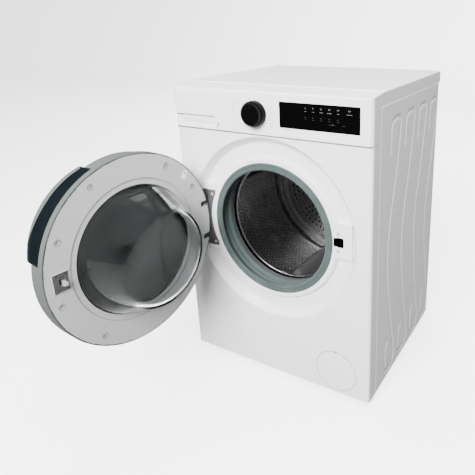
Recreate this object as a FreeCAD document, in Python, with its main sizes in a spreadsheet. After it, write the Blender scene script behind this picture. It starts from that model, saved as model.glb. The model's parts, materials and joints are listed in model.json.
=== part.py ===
"""Front-loading washing machine, door open at rest.

The frame is in millimetres: +X to the machine's right as seen from the front, +Y to the back,
+Z up. The origin is on the floor, at the middle of the four feet. The front panel's outer face is
the plane y = -cabinet_depth / 2, and most depths below are counted from it with front().
"""
import FreeCAD, Part
import math
import os
from types import SimpleNamespace

import Sketcher
from FreeCAD import Placement, Rotation, Vector

# ---------------------------------------------------------------- driving dimensions

DRIVING = {
    # cabinet
    "cabinet_width": 597.0,
    "cabinet_height": 845.0,
    "cabinet_depth": 510.0,
    "sheet_steel": 1.2,
    "floor_gap": 12.0,
    "front_return": 45.0,
    "console_bottom": 727.0,
    "console_proud": 4.0,
    "console_wall": 2.5,
    "front_crease": 836.0,
    "worktop_thickness": 34.0,
    "worktop_setback": 64.0,
    "worktop_overhang": 17.0,
    # porthole and the dished front round it
    "port_height": 460.0,
    "port_radius": 183.0,
    "dish_radius": 260.0,
    "dish_depth": 22.0,
    "flange_depth": 10.0,
    "land_depth": 12.0,
    # door and its hinge
    "door_radius": 247.0,
    "hinge_reach": 230.0,
    "hinge_forward": 12.0,
    "hinge_spacing": 100.0,
    "hinge_pin_radius": 3.0,
    "door_open_angle": 95.0,
    "glass_radius": 166.0,
    "bowl_depth": 112.0,
    # tub and drum, depths from the front plane
    "tub_radius": 258.0,
    "tub_front": 70.0,
    "tub_back": 440.0,
    "drum_radius": 240.0,
    "drum_mouth": 172.0,
    "drum_front": 84.0,
    "drum_back": 398.0,
    "shaft_radius": 12.5,
    "bearing_radius": 26.0,
    # drive
    "drum_pulley_radius": 140.0,
    "motor_pulley_radius": 11.0,
    "motor_side": -40.0,
    "motor_height": 128.0,
    "belt_width": 12.0,
    "belt_thickness": 3.0,
    # controls
    "knob_side": -22.0,
    "knob_height": 781.0,
    "knob_radius": 34.0,
    "display_left": 50.0,
    "display_right": 268.0,
    "display_low": 751.0,
    "display_high": 816.0,
    # detergent drawer
    "drawer_seam": -93.0,
    "dispenser_left": -278.0,
    "dispenser_right": -98.0,
    "dispenser_low": 736.0,
    "dispenser_high": 806.0,
    "dispenser_depth": 340.0,
    # pump and its hatch
    "hatch_side": 200.0,
    "hatch_height": 80.0,
    "hatch_radius": 60.0,
    "filter_radius": 33.0,
    # feet
    "foot_spread_side": 500.0,
    "foot_spread_depth": 400.0,
    "foot_radius": 20.0,
    "stud_radius": 5.0,
    # suspension
    "damper_side": 120.0,
    "spring_side": 258.0,
    "suspension_depth": 250.0,
    # interfaces at the back
    "inlet_radius": 13.2,
    "outlet_radius": 11.0,
    "transit_spread_side": 380.0,
    "transit_spread_height": 300.0,
    "transit_radius": 8.0,
}

doc = FreeCAD.newDocument("washing_machine")
sheet = doc.addObject("Spreadsheet::Sheet", "Dims")
for row, (alias, number) in enumerate(DRIVING.items(), start=1):
    sheet.set(f"A{row}", alias)
    sheet.set(f"B{row}", str(number))
    sheet.setAlias(f"B{row}", alias)
doc.recompute()


class Size:
    """A length that knows its number and the sheet expression that keeps it current."""

    def __init__(self, number, text=None):
        self.number = float(number)
        self.bound = text is not None
        self.text = text if self.bound else repr(self.number)

    def joined(self, other, sign, number):
        if not (self.bound or other.bound):
            return Size(number)
        return Size(number, f"({self.text} {sign} {other.text})")

    def __add__(self, other):
        other = as_size(other)
        return self.joined(other, "+", self.number + other.number)

    def __sub__(self, other):
        other = as_size(other)
        return self.joined(other, "-", self.number - other.number)

    def __mul__(self, other):
        other = as_size(other)
        return self.joined(other, "*", self.number * other.number)

    def __truediv__(self, other):
        other = as_size(other)
        return self.joined(other, "/", self.number / other.number)

    def __radd__(self, other):
        return as_size(other) + self

    def __rsub__(self, other):
        return as_size(other) - self

    def __rmul__(self, other):
        return as_size(other) * self

    def __neg__(self):
        return as_size(0) - self

    def __float__(self):
        return self.number


def as_size(value):
    return value if isinstance(value, Size) else Size(value)


D = SimpleNamespace(**{alias: Size(number, f"Dims.{alias}") for alias, number in DRIVING.items()})

HALF = D.cabinet_width / 2
BACK = D.cabinet_depth / 2
UNDER_TOP = D.cabinet_height - D.worktop_thickness
PORT = (0, -BACK, D.port_height)
EAR_HEIGHTS = [D.port_height - 2 + side * D.hinge_spacing / 2 for side in (-1, 1)]
HINGE_X = -D.hinge_reach
HINGE_Y = -BACK - D.hinge_forward
LATCH_X = 203.5
LATCH_Z = D.port_height + 4
DOOR_SCREWS = [(222, angle) for angle in (26, 62, 120, 150, 210, 240, 305, 346)]
THIRDS = (0, 120, 240)
SIDES = (-1, 1)


def front(depth):
    """The y of a plane this far behind the front panel's outer face."""
    return depth - BACK


# places as (x, z) on a wall, or (x, y) on a level
FRONT_SCREWS = [
    (-199, D.port_height + 72),
    (-199, D.port_height - 76),
    (LATCH_X, LATCH_Z + 24),
    (LATCH_X, LATCH_Z - 24),
]
INLET = (-190.0, 768.0)
OUTLET = (155.0, 95.0)
GLAND = (215.0, 730.0)
BELLOWS = (-150.0, front(250))
SUMP = (200.0, front(128))
HOOK_PIVOT = (202.5, front(-4.5))
FLAP_AXIS = (front(1), D.hatch_height - D.hatch_radius + 0.5)

CONSOLE_LIP = 3.0
CONSOLE_CORNER = 12.0
PANEL_CORNER = 9.0
GRIP_OFFSET = 112.0
GRIP_RADIUS = 150.0
GRIP_ANGLE = 42.0
SHEET_GAP = 0.4
INNER_HALF = HALF - D.sheet_steel - SHEET_GAP


# ---------------------------------------------------------------- drawing tools

AXES = {"X": Vector(1, 0, 0), "Y": Vector(0, 1, 0), "Z": Vector(0, 0, 1)}
NODES = {}


def bind(thing, prop, size):
    size = as_size(size)
    if size.bound:
        thing.setExpression(prop, size.text)


def place(thing, at, turn=Rotation()):
    at = [as_size(value) for value in at]
    thing.Placement = Placement(Vector(*[value.number for value in at]), turn)
    for letter, value in zip("xyz", at):
        bind(thing, f"Placement.Base.{letter}", value)
    return thing


def box(x, y, z):
    """A block between two values along each axis."""
    block = doc.addObject("Part::Box", "block")
    for prop, (low, high) in zip(("Length", "Width", "Height"), (x, y, z)):
        span = as_size(high) - as_size(low)
        setattr(block, prop, span.number)
        bind(block, prop, span)
    return place(block, (x[0], y[0], z[0]))


def rod(radius, start, axis, length):
    """A round bar that starts at a point and runs along +X, +Y or +Z."""
    bar = doc.addObject("Part::Cylinder", "bar")
    bar.Radius = as_size(radius).number
    bar.Height = as_size(length).number
    bind(bar, "Radius", radius)
    bind(bar, "Height", length)
    return place(bar, start, Rotation(AXES["Z"], AXES[axis]))


def join(*pieces):
    union = doc.addObject("Part::MultiFuse", "union")
    union.Shapes = list(pieces)
    return union


def cut(base, *tools):
    result = doc.addObject("Part::Cut", "cut")
    result.Base = base
    result.Tool = tools[0] if len(tools) == 1 else join(*tools)
    return result


def overlap(first, second):
    result = doc.addObject("Part::Common", "overlap")
    result.Base = first
    result.Tool = second
    return result


def tube(outer, inner, start, axis, length):
    return cut(rod(outer, start, axis, length), rod(inner, start, axis, length))


def outline(body, points, role):
    """A closed sketch through the points, each corner held by its two distances."""
    sketch = body.newObject("Sketcher::SketchObject", "outline")
    plane = next(f for f in body.Origin.OriginFeatures if f.Role == role)
    sketch.AttachmentSupport = [(plane, "")]
    sketch.MapMode = "FlatFace"
    corners = [(as_size(across), as_size(along)) for across, along in points]
    count = len(corners)
    for index, start in enumerate(corners):
        end = corners[(index + 1) % count]
        ends = [Vector(corner[0].number, corner[1].number, 0) for corner in (start, end)]
        sketch.addGeometry(Part.LineSegment(*ends))
    for index in range(count):
        following = (index + 1) % count
        sketch.addConstraint(Sketcher.Constraint("Coincident", index, 2, following, 1))
    for index, corner in enumerate(corners):
        for kind, axis, size in (("DistanceX", -2, corner[0]), ("DistanceY", -1, corner[1])):
            if size.number == 0:
                sketch.addConstraint(Sketcher.Constraint("PointOnObject", index, 1, axis))
                continue
            held = Sketcher.Constraint(kind, -1, 1, index, 1, size.number)
            bind(sketch, f"Constraints[{sketch.addConstraint(held)}]", size)
    return sketch


def turned(points, at=(0, 0, 0), turn=Rotation()):
    """A body turned about its own Y axis, from points (radius, depth)."""
    body = doc.addObject("PartDesign::Body", "turning")
    sketch = outline(body, points, "XY_Plane")
    revolution = body.newObject("PartDesign::Revolution", "revolution")
    revolution.Profile = sketch
    revolution.ReferenceAxis = (sketch, ["V_Axis"])
    revolution.Angle = 360
    return place(body, at, turn)


def padded(points, length, role="XY_Plane", at=(0, 0, 0), turn=Rotation()):
    """A body raised from a flat outline, evenly to both sides of its plane."""
    body = doc.addObject("PartDesign::Body", "padding")
    sketch = outline(body, points, role)
    pad = body.newObject("PartDesign::Pad", "pad")
    pad.Profile = sketch
    pad.Length = as_size(length).number
    bind(pad, "Length", length)
    pad.Midplane = True
    return place(body, at, turn)


def rounded(base, radius, wanted):
    """The base with a fillet on each edge that wanted(edge) picks."""
    doc.recompute()
    fillet = doc.addObject("Part::Fillet", "fillet")
    fillet.Base = base
    picked = [i for i, edge in enumerate(base.Shape.Edges, start=1) if wanted(edge)]
    fillet.Edges = [(index, radius, radius) for index in picked]
    return fillet


def runs_along(edge, letter):
    vertices = edge.Vertexes
    if len(vertices) < 2:
        return False
    step = (vertices[1].Point - vertices[0].Point).normalize()
    return abs(step.dot(AXES[letter])) > 0.999


def node(name, thing):
    thing.Label = name
    NODES[name] = thing
    return thing


def on_circle(radius, angle, height=0.0):
    """X and Z of a point on a circle about the porthole's axis."""
    turn = math.radians(angle)
    across = as_size(radius) * math.cos(turn)
    return across, D.port_height + height + as_size(radius) * math.sin(turn)


def swung(thing):
    """Turn a piece drawn on the closed door to where it is on the open one."""
    for letter in "xyz":
        thing.setExpression(f"Placement.Base.{letter}", None)
    pivot = Vector(float(HINGE_X), float(HINGE_Y), 0)
    opened = Rotation(AXES["Z"], -float(D.door_open_angle))
    swing = Placement(Vector(), opened, pivot)
    thing.Placement = swing.multiply(thing.Placement)
    return thing


# ---------------------------------------------------------------- cabinet

def side_panels():
    """Two pressed sides, each with a front flange, a foot flange and a shelf for a spring."""
    top = UNDER_TOP - 0.4
    for name, side in (("side_panel_left", -1), ("side_panel_right", 1)):
        def across(inset, other):
            pair = (side * (HALF - inset), side * (HALF - other))
            return sorted(pair, key=float)

        low = D.floor_gap
        start = front(D.front_return + 1)
        wall = box(across(0, D.sheet_steel), (start, BACK), (low, top))
        front_flange = box(across(0, 16), (start, start + D.sheet_steel), (low + 26, top))
        foot_flange = box(across(0, 20), (start, BACK), (low, low + D.sheet_steel))
        depth = front(D.suspension_depth)
        shelf = box(across(0.5, 54), (depth - 10, depth + 10), (726, 729))
        node(name, join(wall, front_flange, foot_flange, shelf))


def front_panel():
    """A pan with returned edges, dished round the porthole, with a hatch and a latch hole."""
    steel = D.sheet_steel
    low, high = D.floor_gap, D.console_bottom - 2
    pan = box((-HALF, HALF), (front(0), front(D.front_return)), (low, high))

    def front_corner(edge):
        return runs_along(edge, "Z") and edge.CenterOfMass.y < float(front(2))

    pan = rounded(pan, PANEL_CORNER, front_corner)
    inside = box(
        (steel - HALF, HALF - steel), (front(steel), front(D.front_return + 1)), (low + steel, high - steel)
    )
    inside = rounded(inside, PANEL_CORNER - float(steel), front_corner)
    dish_hole = rod(D.dish_radius, (0, front(-1), D.port_height), "Y", 5)
    hatch_hole = rod(
        D.hatch_radius + 1.5, (D.hatch_side, front(-1), D.hatch_height), "Y", 5
    )
    skin = cut(pan, inside, dish_hole, hatch_hole)

    deep = D.dish_depth
    flange = D.flange_depth
    port = D.port_radius
    dish = turned(
        [
            (D.dish_radius + 1.5, 0),
            (D.dish_radius, 0),
            (D.dish_radius - 16, deep - 1),
            (D.dish_radius - 19, deep),
            (port + 24, deep),
            (port + 16, flange),
            (port, flange),
            (port, flange + steel),
            (port + 15, flange + steel),
            (port + 23, deep + steel),
            (D.dish_radius - 18, deep + steel),
            (D.dish_radius - 14.5, deep),
            (D.dish_radius + 1.5, steel),
        ],
        PORT,
    )
    lands = []
    land_back = front(deep + steel)
    for x, z in (((-241, -190), (356, 564)), ((190, 241), (420, 516))):
        land = box(x, (front(D.land_depth), land_back), z)
        land = overlap(land, rod(D.dish_radius - 6, (0, front(0), D.port_height), "Y", 40))
        hollow = box(
            (x[0] + 1.2, x[1] - 1.2), (front(D.land_depth + steel), land_back + 1), (z[0] + 1.2, z[1] - 1.2)
        )
        lands.append((land, hollow))
    latch_hole = box(
        (LATCH_X - 13.5, LATCH_X + 13.5), (front(5), front(30)), (LATCH_Z - 12, LATCH_Z + 12)
    )
    screw_holes = [rod(2.6, (x, front(5), z), "Y", 20) for x, z in FRONT_SCREWS]
    solid = join(skin, dish, *[land for land, _ in lands])
    node("front_panel", cut(solid, *[hollow for _, hollow in lands], latch_hole, *screw_holes))


def rear_panel():
    """A flat back with the openings for water, drain, mains and the transit bolts."""
    side = INNER_HALF
    skin = box((-side, side), (BACK - D.sheet_steel, BACK), (D.floor_gap + 2.5, UNDER_TOP - 0.6))
    holes = [
        rod(D.inlet_radius + 1.8, (INLET[0], BACK - 5, INLET[1]), "Y", 10),
        rod(D.outlet_radius + 1.5, (OUTLET[0], BACK - 5, OUTLET[1]), "Y", 10),
        rod(7.3, (GLAND[0], BACK - 5, GLAND[1]), "Y", 10),
    ]
    for across in SIDES:
        for up in SIDES:
            x = across * D.transit_spread_side / 2
            z = D.port_height + up * D.transit_spread_height / 2
            holes.append(rod(D.transit_radius, (x, BACK - 5, z), "Y", 10))
    node("rear_panel", cut(skin, *holes))


def base_tray():
    """A shallow drip tray with four bosses that the feet screw into."""
    side = INNER_HALF
    low = D.floor_gap + 1.5
    pan = box((-side, side), (front(16), BACK - 1.6), (low, low + 22))
    inside = box((2 - side, side - 2), (front(18), BACK - 3.6), (low + 2.5, low + 23))
    bosses = []
    bores = []
    for x, y in foot_places():
        bosses.append(rod(13, (x, y, low), "Z", 30))
        bores.append(rod(D.stud_radius + 0.3, (x, y, low - 1), "Z", 33))
    lugs = [
        rod(11, (side * D.damper_side, front(D.suspension_depth), low), "Z", 28) for side in SIDES
    ]
    node("base_tray", cut(join(cut(pan, inside), *bosses, *lugs), *bores))


def foot_places():
    return [
        (across * D.foot_spread_side / 2, deep * D.foot_spread_depth / 2)
        for deep in SIDES
        for across in SIDES
    ]


def levelling_feet():
    """Four feet, each a broad pad on a threaded stud, and their lock nuts."""
    feet = []
    nuts = []
    for x, y in foot_places():
        pad = rod(D.foot_radius, (x, y, 0), "Z", 8)
        feet.append(join(pad, rod(D.stud_radius, (x, y, 7), "Z", 36)))
        nut = doc.addObject("Part::Prism", "nut")
        nut.Polygon = 6
        nut.Circumradius = 8.5
        nut.Height = 4.4
        place(nut, (x, y, 8.6))
        nuts.append(cut(nut, rod(D.stud_radius + 0.2, (x, y, 8), "Z", 6)))
    node("levelling_feet", join(*feet))
    node("foot_lock_nuts", join(*nuts))


def worktop():
    """The board on top, with softly rounded edges."""
    board = box(
        (-HALF, HALF),
        (front(D.worktop_setback + 0.4), BACK + D.worktop_overhang),
        (UNDER_TOP, D.cabinet_height),
    )

    def outer_edge(edge):
        high = edge.CenterOfMass.z > float(D.cabinet_height) - 1
        rear = edge.CenterOfMass.y > float(BACK)
        return (high and not runs_along(edge, "Z")) or (rear and runs_along(edge, "Z"))

    node("worktop", rounded(board, 4.0, outer_edge))


def cross_brace():
    """A channel across the top that ties the two sides together."""
    side = INNER_HALF
    bar = box((-side, side), (front(348), front(388)), (UNDER_TOP - 16, UNDER_TOP - 1))
    hollow = box((-side - 1, side + 1), (front(349.5), front(386.5)), (UNDER_TOP - 17, UNDER_TOP - 2.5))
    node("cross_brace", cut(bar, hollow))


# ---------------------------------------------------------------- controls

def console():
    """The moulded fascia: a hollow wedge, cut away at the left for the drawer's front."""
    proud = -D.console_proud
    low, crease = D.console_bottom, D.front_crease
    wall = D.console_wall
    setback = D.worktop_setback
    outer = padded(
        [
            (front(proud), low),
            (front(proud), crease - CONSOLE_LIP),
            (front(proud + CONSOLE_LIP), crease + 1),
            (front(setback), D.cabinet_height - 1.5),
            (front(setback), UNDER_TOP + 0.2),
            (front(D.front_return), UNDER_TOP + 0.2),
            (front(D.front_return), low),
        ],
        D.cabinet_width,
        "YZ_Plane",
    )
    inner = padded(
        [
            (front(proud + wall), low + wall),
            (front(proud + wall), crease - CONSOLE_LIP - 1),
            (front(proud + wall + 2), crease - 1.5),
            (front(setback - wall), D.cabinet_height - 4.5),
            (front(setback + 5), D.cabinet_height - 4.5),
            (front(setback + 5), low + wall),
        ],
        D.cabinet_width - 2 * wall,
        "YZ_Plane",
    )

    def front_end(edge):
        return runs_along(edge, "Z") and edge.CenterOfMass.y < float(front(0))

    shell = cut(rounded(outer, CONSOLE_CORNER, front_end), rounded(inner, CONSOLE_CORNER - 2.5, front_end))
    drawer_bay = box(
        (-HALF - 1, D.drawer_seam - 0.3),
        (front(proud - 1), front(proud + wall + 0.4)),
        (low - 1, crease - 2.5),
    )
    drawer_side = box(
        (-HALF - 1, wall + 0.4 - HALF), (front(proud - 1), front(20.4)), (low - 1, crease - 2.5)
    )
    drawer_corner = box(
        (-HALF - 1, 14 - HALF), (front(proud - 1), front(12)), (low - 1, crease - 2.5)
    )
    window = box(
        (D.display_left, D.display_right), (front(-10), front(1)), (D.display_low, D.display_high)
    )
    stem_hole = rod(6.5, (D.knob_side, front(-10), D.knob_height), "Y", 14)
    bay_wall = box(
        (16 - HALF, D.drawer_seam + 2), (front(1), front(3)), (low + 1, crease - 2)
    )
    mouth = box(
        (D.dispenser_left, D.dispenser_right), (front(-6), front(5)), (D.dispenser_low + 1, D.dispenser_high)
    )
    open_shell = cut(shell, drawer_bay, drawer_side, drawer_corner, window, stem_hole)
    node("console", join(open_shell, cut(bay_wall, mouth)))


def display_window():
    gap = 0.3
    pane = box(
        (D.display_left + gap, D.display_right - gap),
        (front(-4.6), front(-1.6)),
        (D.display_low + gap, D.display_high - gap),
    )
    node("display_window", rounded(pane, 2.5, lambda edge: runs_along(edge, "Y")))


def control_board():
    """The circuit board with its display block and the knob's encoder."""
    board = box((-60, 280), (front(11), front(12.6)), (742, 826))
    block = box((D.display_left + 5, D.display_right - 5), (front(-1), front(11.5)), (756, 811))
    x, z = D.knob_side, D.knob_height
    encoder = box((x - 10, x + 10), (front(1), front(11.5)), (z - 10, z + 10))
    bore = rod(5.05, (x, front(0), z), "Y", 9.5)
    node("control_board", cut(join(board, block, encoder), bore))


def selector_knob():
    """A hollow knob with a bevelled rim and a stem that turns in the encoder."""
    radius = D.knob_radius
    points = [
        (0, -29),
        (radius - 7, -29),
        (radius - 0.5, -23),
        (radius, -5.2),
        (radius - 2.5, -5.2),
        (radius - 3, -21),
        (radius - 8, -26),
        (5, -26),
        (5, 8),
        (0, 8),
    ]
    node("selector_knob", turned(points, (D.knob_side, -BACK, D.knob_height)))


# ---------------------------------------------------------------- water in

def dispenser_housing():
    """The box that the drawer slides in, open to the front, with an outlet below."""
    low, high = D.dispenser_low, D.dispenser_high
    deep = D.dispenser_depth
    shell = box((D.dispenser_left, D.dispenser_right), (front(30), front(deep)), (low, high))
    inside = box(
        (D.dispenser_left + 2.5, D.dispenser_right - 2.5),
        (front(29), front(deep - 2.5)),
        (low + 2.5, high - 2.5),
    )
    outlet = tube(15, 12.5, (BELLOWS[0], BELLOWS[1], low - 12), "Z", 13)
    drain = rod(12.5, (BELLOWS[0], BELLOWS[1], low - 1), "Z", 6)
    intake = rod(6, (INLET[0], front(deep - 5), INLET[1]), "Y", 10)
    node("dispenser_housing", join(cut(shell, inside, drain, intake), outlet))


def drawer():
    """The detergent drawer: a tray with three compartments, its front and the siphon cap."""
    left, right = D.dispenser_left + 4, D.dispenser_right - 4
    low, high = D.dispenser_low + 5, D.dispenser_low + 55
    start, end = front(3.5), front(D.dispenser_depth - 20)
    tray = box((left, right), (start, end), (low, high))
    walls = [55, 112]
    edges = [left + 2] + [left + 2 + wall for wall in walls] + [right - 2]
    wells = []
    for first, second in zip(edges[:-1], edges[1:]):
        gap = 0 if second is edges[-1] else 2
        wells.append(box((first, second - gap), (start + 2.5, end - 2), (low + 2, high + 1)))
    node("drawer_tray", cut(tray, *wells))

    proud = -D.console_proud
    crease = D.front_crease - 3
    face = box((-HALF, D.drawer_seam - 0.6), (front(proud), front(20)), (D.console_bottom, crease))

    def corner(edge):
        here = edge.CenterOfMass
        return runs_along(edge, "Z") and here.y < float(front(0)) and here.x < -200

    face = rounded(face, 11.5, corner)
    hollow = box(
        (2.4 - HALF, D.drawer_seam + 5), (front(proud + 2.4), front(30)), (D.console_bottom - 1, crease + 1)
    )
    hollow = rounded(hollow, 9.1, corner)
    link = box((left + 1, right - 1), (front(proud + 2), front(3.3)), (low + 1, high - 6))
    node("drawer_front", join(cut(face, hollow), link))
    cap_left = left + 2 + walls[0] + 2
    cap = box((cap_left, cap_left + 50), (end - 90, end - 4), (high - 12, high - 9))
    chimney = rod(8, (cap_left + 25, end - 45, low + 6), "Z", 34)
    node("siphon_cap", join(cap, chimney))


def inlet_valve():
    """The solenoid valve: its threaded inlet stands out of the back."""
    x, z = INLET
    block = box((x - 24, x + 24), (BACK - 58, BACK - 12), (z - 16, z + 20))
    spigot = tube(D.inlet_radius, 8, (x, BACK - 13, z), "Y", 27)
    coil = rod(13, (x, BACK - 35, z - 40), "Z", 26)
    outlet = rod(5.5, (x, BACK - 74, z), "Y", 18)
    node("inlet_valve", join(block, spigot, coil, outlet))
    start = front(D.dispenser_depth + 0.5)
    length = BACK - 58.5 - start
    node("fill_hose", tube(9, 6, (x, start, z), "Y", length))


def dispenser_bellows():
    """The rubber bellows from the dispenser down to the tub."""
    x, y = BELLOWS
    top = D.dispenser_low - 0.4
    sleeve = tube(18.5, 16.4, (x, y, 682), "Z", top - 682)
    folds = [rod(22, (x, y, 694 + 8 * fold), "Z", 3) for fold in range(4)]
    hole = rod(16.4, (x, y, 681), "Z", 60)
    node("dispenser_bellows", cut(join(sleeve, *folds), hole))


# ---------------------------------------------------------------- tub

def tub():
    """The two halves of the tub, joined at a flange, with its lugs and stubs."""
    radius = D.tub_radius
    inner = radius - 4.5
    seam = 103
    start = D.tub_front
    front_half = turned(
        [
            (176, start - 8),
            (180, start - 8),
            (180, start),
            (radius - 8, start),
            (radius, start + 8),
            (radius, seam - 5),
            (radius + 6, seam - 5),
            (radius + 6, seam),
            (inner, seam),
            (inner, start + 10),
            (inner - 6, start + 4),
            (176, start + 4),
        ],
        PORT,
    )
    node("tub_front", front_half)
    back = D.tub_back
    bearing = D.bearing_radius
    rear_half = turned(
        [
            (inner, seam + 0.3),
            (radius + 6, seam + 0.3),
            (radius + 6, seam + 5),
            (radius, seam + 5),
            (radius, back - 8),
            (radius - 8, back),
            (50, back),
            (46, back + 30),
            (bearing, back + 30),
            (bearing, back - 18),
            (46, back - 18),
            (52, back - 6),
            (inner - 6, back - 6),
            (inner, back - 12),
        ],
        PORT,
    )
    x, y = BELLOWS
    stubs = [tube(16, 12.5, (x, y, 640), "Z", 50)]
    mouth = [rod(12.5, (x, y, 640), "Z", 60)]
    stubs.append(tube(18, 15, (SUMP[0], SUMP[1], 250), "Z", 60))
    mouth.append(rod(15, (SUMP[0], SUMP[1], 240), "Z", 80))
    depth = front(D.suspension_depth)
    for side in SIDES:
        reach = sorted((side * 215, side * 272))
        stubs.append(box(reach, (depth - 8, depth + 8), (580, 588)))
        stubs.append(rod(11, (side * D.damper_side, depth, 226), "Z", 18))
    motor = (D.motor_side, D.motor_height)
    stubs.append(box((motor[0] - 12, motor[0] + 12), (front(350), front(372)), (motor[1] + 52.5, 212)))
    stubs.append(box((motor[0] - 12, motor[0] + 12), (front(410), front(432)), (motor[1] + 52.5, 212)))
    bore = rod(inner, (0, front(seam + 1), D.port_height), "Y", back - 6 - seam - 1)
    trimmed = cut(join(*stubs), bore)
    node("tub_rear", cut(join(rear_half, trimmed), *mouth))


def bearings():
    """The two drum bearings in the tub's hub, and the seal in front of them."""
    back = D.tub_back
    outer = D.bearing_radius - 0.02
    inner = D.shaft_radius + 0.03
    rings = [tube(outer, inner, (0, front(back + step), D.port_height), "Y", 14) for step in (-12, 14)]
    node("drum_bearings", join(*rings))
    lip = tube(outer - 0.1, D.shaft_radius + 0.05, (0, front(back - 17), D.port_height), "Y", 4)
    node("shaft_seal", lip)


def counterweights():
    """Two concrete blocks: a ring on the tub's face and a saddle on its top."""
    ring = turned([(200, 42), (250, 42), (250, 67), (200, 67)], PORT)
    node("counterweight_front", ring)
    saddle = box((-88, 200), (front(190), front(340)), (668, 768))
    seat = rod(D.tub_radius + 7, (0, front(180), D.port_height), "Y", 170)
    node("counterweight_top", cut(saddle, seat))


def heating_element():
    """A hairpin heater in the bottom of the tub, under the drum."""
    z = D.port_height - 245
    start, end = front(D.tub_front + 10), front(300)
    legs = [rod(3.6, (side * 30, start, z), "Y", end - start) for side in SIDES]
    bend = rod(3.6, (-30, end, z), "X", 60)
    node("heating_element", join(*legs, bend))


def door_seal():
    """The rubber bellows between the porthole and the tub's mouth."""
    port = D.port_radius
    flange = D.flange_depth
    mouth = D.tub_front
    points = [
        (port - 9, flange - 2),
        (port - 5, flange - 4.2),
        (port + 4, flange - 3.4),
        (port + 4, flange - 0.3),
        (port - 0.3, flange - 0.3),
        (port - 0.3, flange + 1.5),
        (port + 4, flange + 1.5),
        (port + 4, flange + 4.5),
        (port + 0.5, flange + 5),
        (port + 6, flange + 18),
        (port + 6, flange + 30),
        (port - 1, flange + 38),
        (port + 1.5, mouth - 10),
        (port + 1.5, mouth - 0.3),
        (180.3, mouth - 0.3),
        (180.3, mouth - 8.3),
        (174, mouth - 8.3),
        (174, mouth - 12),
        (port - 4, mouth - 14),
        (port - 4.5, flange + 40),
        (port + 2.5, flange + 29),
        (port + 2.5, flange + 19),
        (port - 4, flange + 6),
        (port - 9, flange + 2),
    ]
    node("door_seal", turned(points, PORT))
    band = tube(D.port_radius + 4, D.port_radius + 1.8, (0, front(mouth - 7), D.port_height), "Y", 4)
    node("seal_clamp_band", band)


# ---------------------------------------------------------------- drum

def drum():
    """The stainless drum: shell with a rolled mouth, pressed back, lifters, spider with its shaft."""
    radius = D.drum_radius
    start, end = D.drum_front, D.drum_back
    mouth = D.drum_mouth
    shell = turned(
        [
            (mouth, start + 5),
            (mouth + 2, start),
            (radius - 5, start),
            (radius, start + 8),
            (radius, end),
            (radius - 1.2, end),
            (radius - 1.2, start + 8.5),
            (radius - 5.5, start + 1.4),
            (mouth + 2.5, start + 1.4),
            (mouth + 1.2, start + 5),
        ],
        PORT,
    )
    node("drum_shell", shell)
    back = turned(
        [
            (0, end - 8),
            (60, end - 8),
            (90, end - 2.5),
            (radius - 1.4, end - 2.5),
            (radius - 1.4, end - 1.3),
            (89.6, end - 1.3),
            (59.6, end - 6.8),
            (0, end - 6.8),
        ],
        PORT,
    )
    node("drum_back", back)
    lifters = []
    for angle in THIRDS:
        points = [(-34, 4.5 - radius), (34, 4.5 - radius), (14, 56 - radius), (-14, 56 - radius)]
        turn = Rotation(AXES["Y"], angle)
        lifters.append(padded(points, 270, "XZ_Plane", (0, front(248), D.port_height), turn))
    node("drum_lifters", join(*lifters))
    arms = []
    for angle in THIRDS:
        points = [(-24, 26), (24, 26), (14, radius - 5), (-14, radius - 5)]
        turn = Rotation(AXES["Y"], angle)
        arms.append(padded(points, 9, "XZ_Plane", (0, front(end + 5), D.port_height), turn))
    hub = rod(36, (0, front(end + 0.5), D.port_height), "Y", 18)
    shaft = rod(D.shaft_radius, (0, front(end + 2), D.port_height), "Y", 96)
    node("drum_spider", join(hub, *arms, shaft))


def pulley_points(radius, start, bore):
    """The outline of a spoked-rim pulley, turned about its bore."""
    return [
        (bore, start - 2),
        (22, start - 2),
        (22, start + 4),
        (radius - 10, start + 4),
        (radius - 10, start),
        (radius, start),
        (radius, start + 14),
        (radius - 10, start + 14),
        (radius - 10, start + 8),
        (22, start + 8),
        (22, start + 16),
        (bore, start + 16),
    ]


def drive():
    """Motor, belt and pulleys: the belt runs in one plane behind the tub."""
    start = 478
    pulley = turned(pulley_points(D.drum_pulley_radius, start, D.shaft_radius + 0.02), PORT)
    node("drum_pulley", pulley)
    x, z = D.motor_side, D.motor_height
    can = rod(52, (x, front(330), z), "Y", 130)
    well = rod(40, (x, front(340), z), "Y", 110)
    bore = rod(8.05, (x, front(329), z), "Y", 132)
    node("motor_housing", cut(can, well, bore))
    shaft = rod(8, (x, front(326), z), "Y", 166)
    core = rod(36, (x, front(350), z), "Y", 90)
    wheel = rod(D.motor_pulley_radius, (x, front(start), z), "Y", 14)
    node("motor_rotor", join(shaft, core, wheel))
    belt = doc.addObject("Part::Feature", "belt")
    belt.Shape = belt_loop(
        float(D.drum_pulley_radius) + 0.3,
        float(D.motor_pulley_radius) + 0.3,
        Vector(float(x), 0, float(z - D.port_height)),
        float(D.belt_thickness),
        float(D.belt_width),
    )
    place(belt, (0, front(start + 1), D.port_height))
    node("drive_belt", belt)


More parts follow.
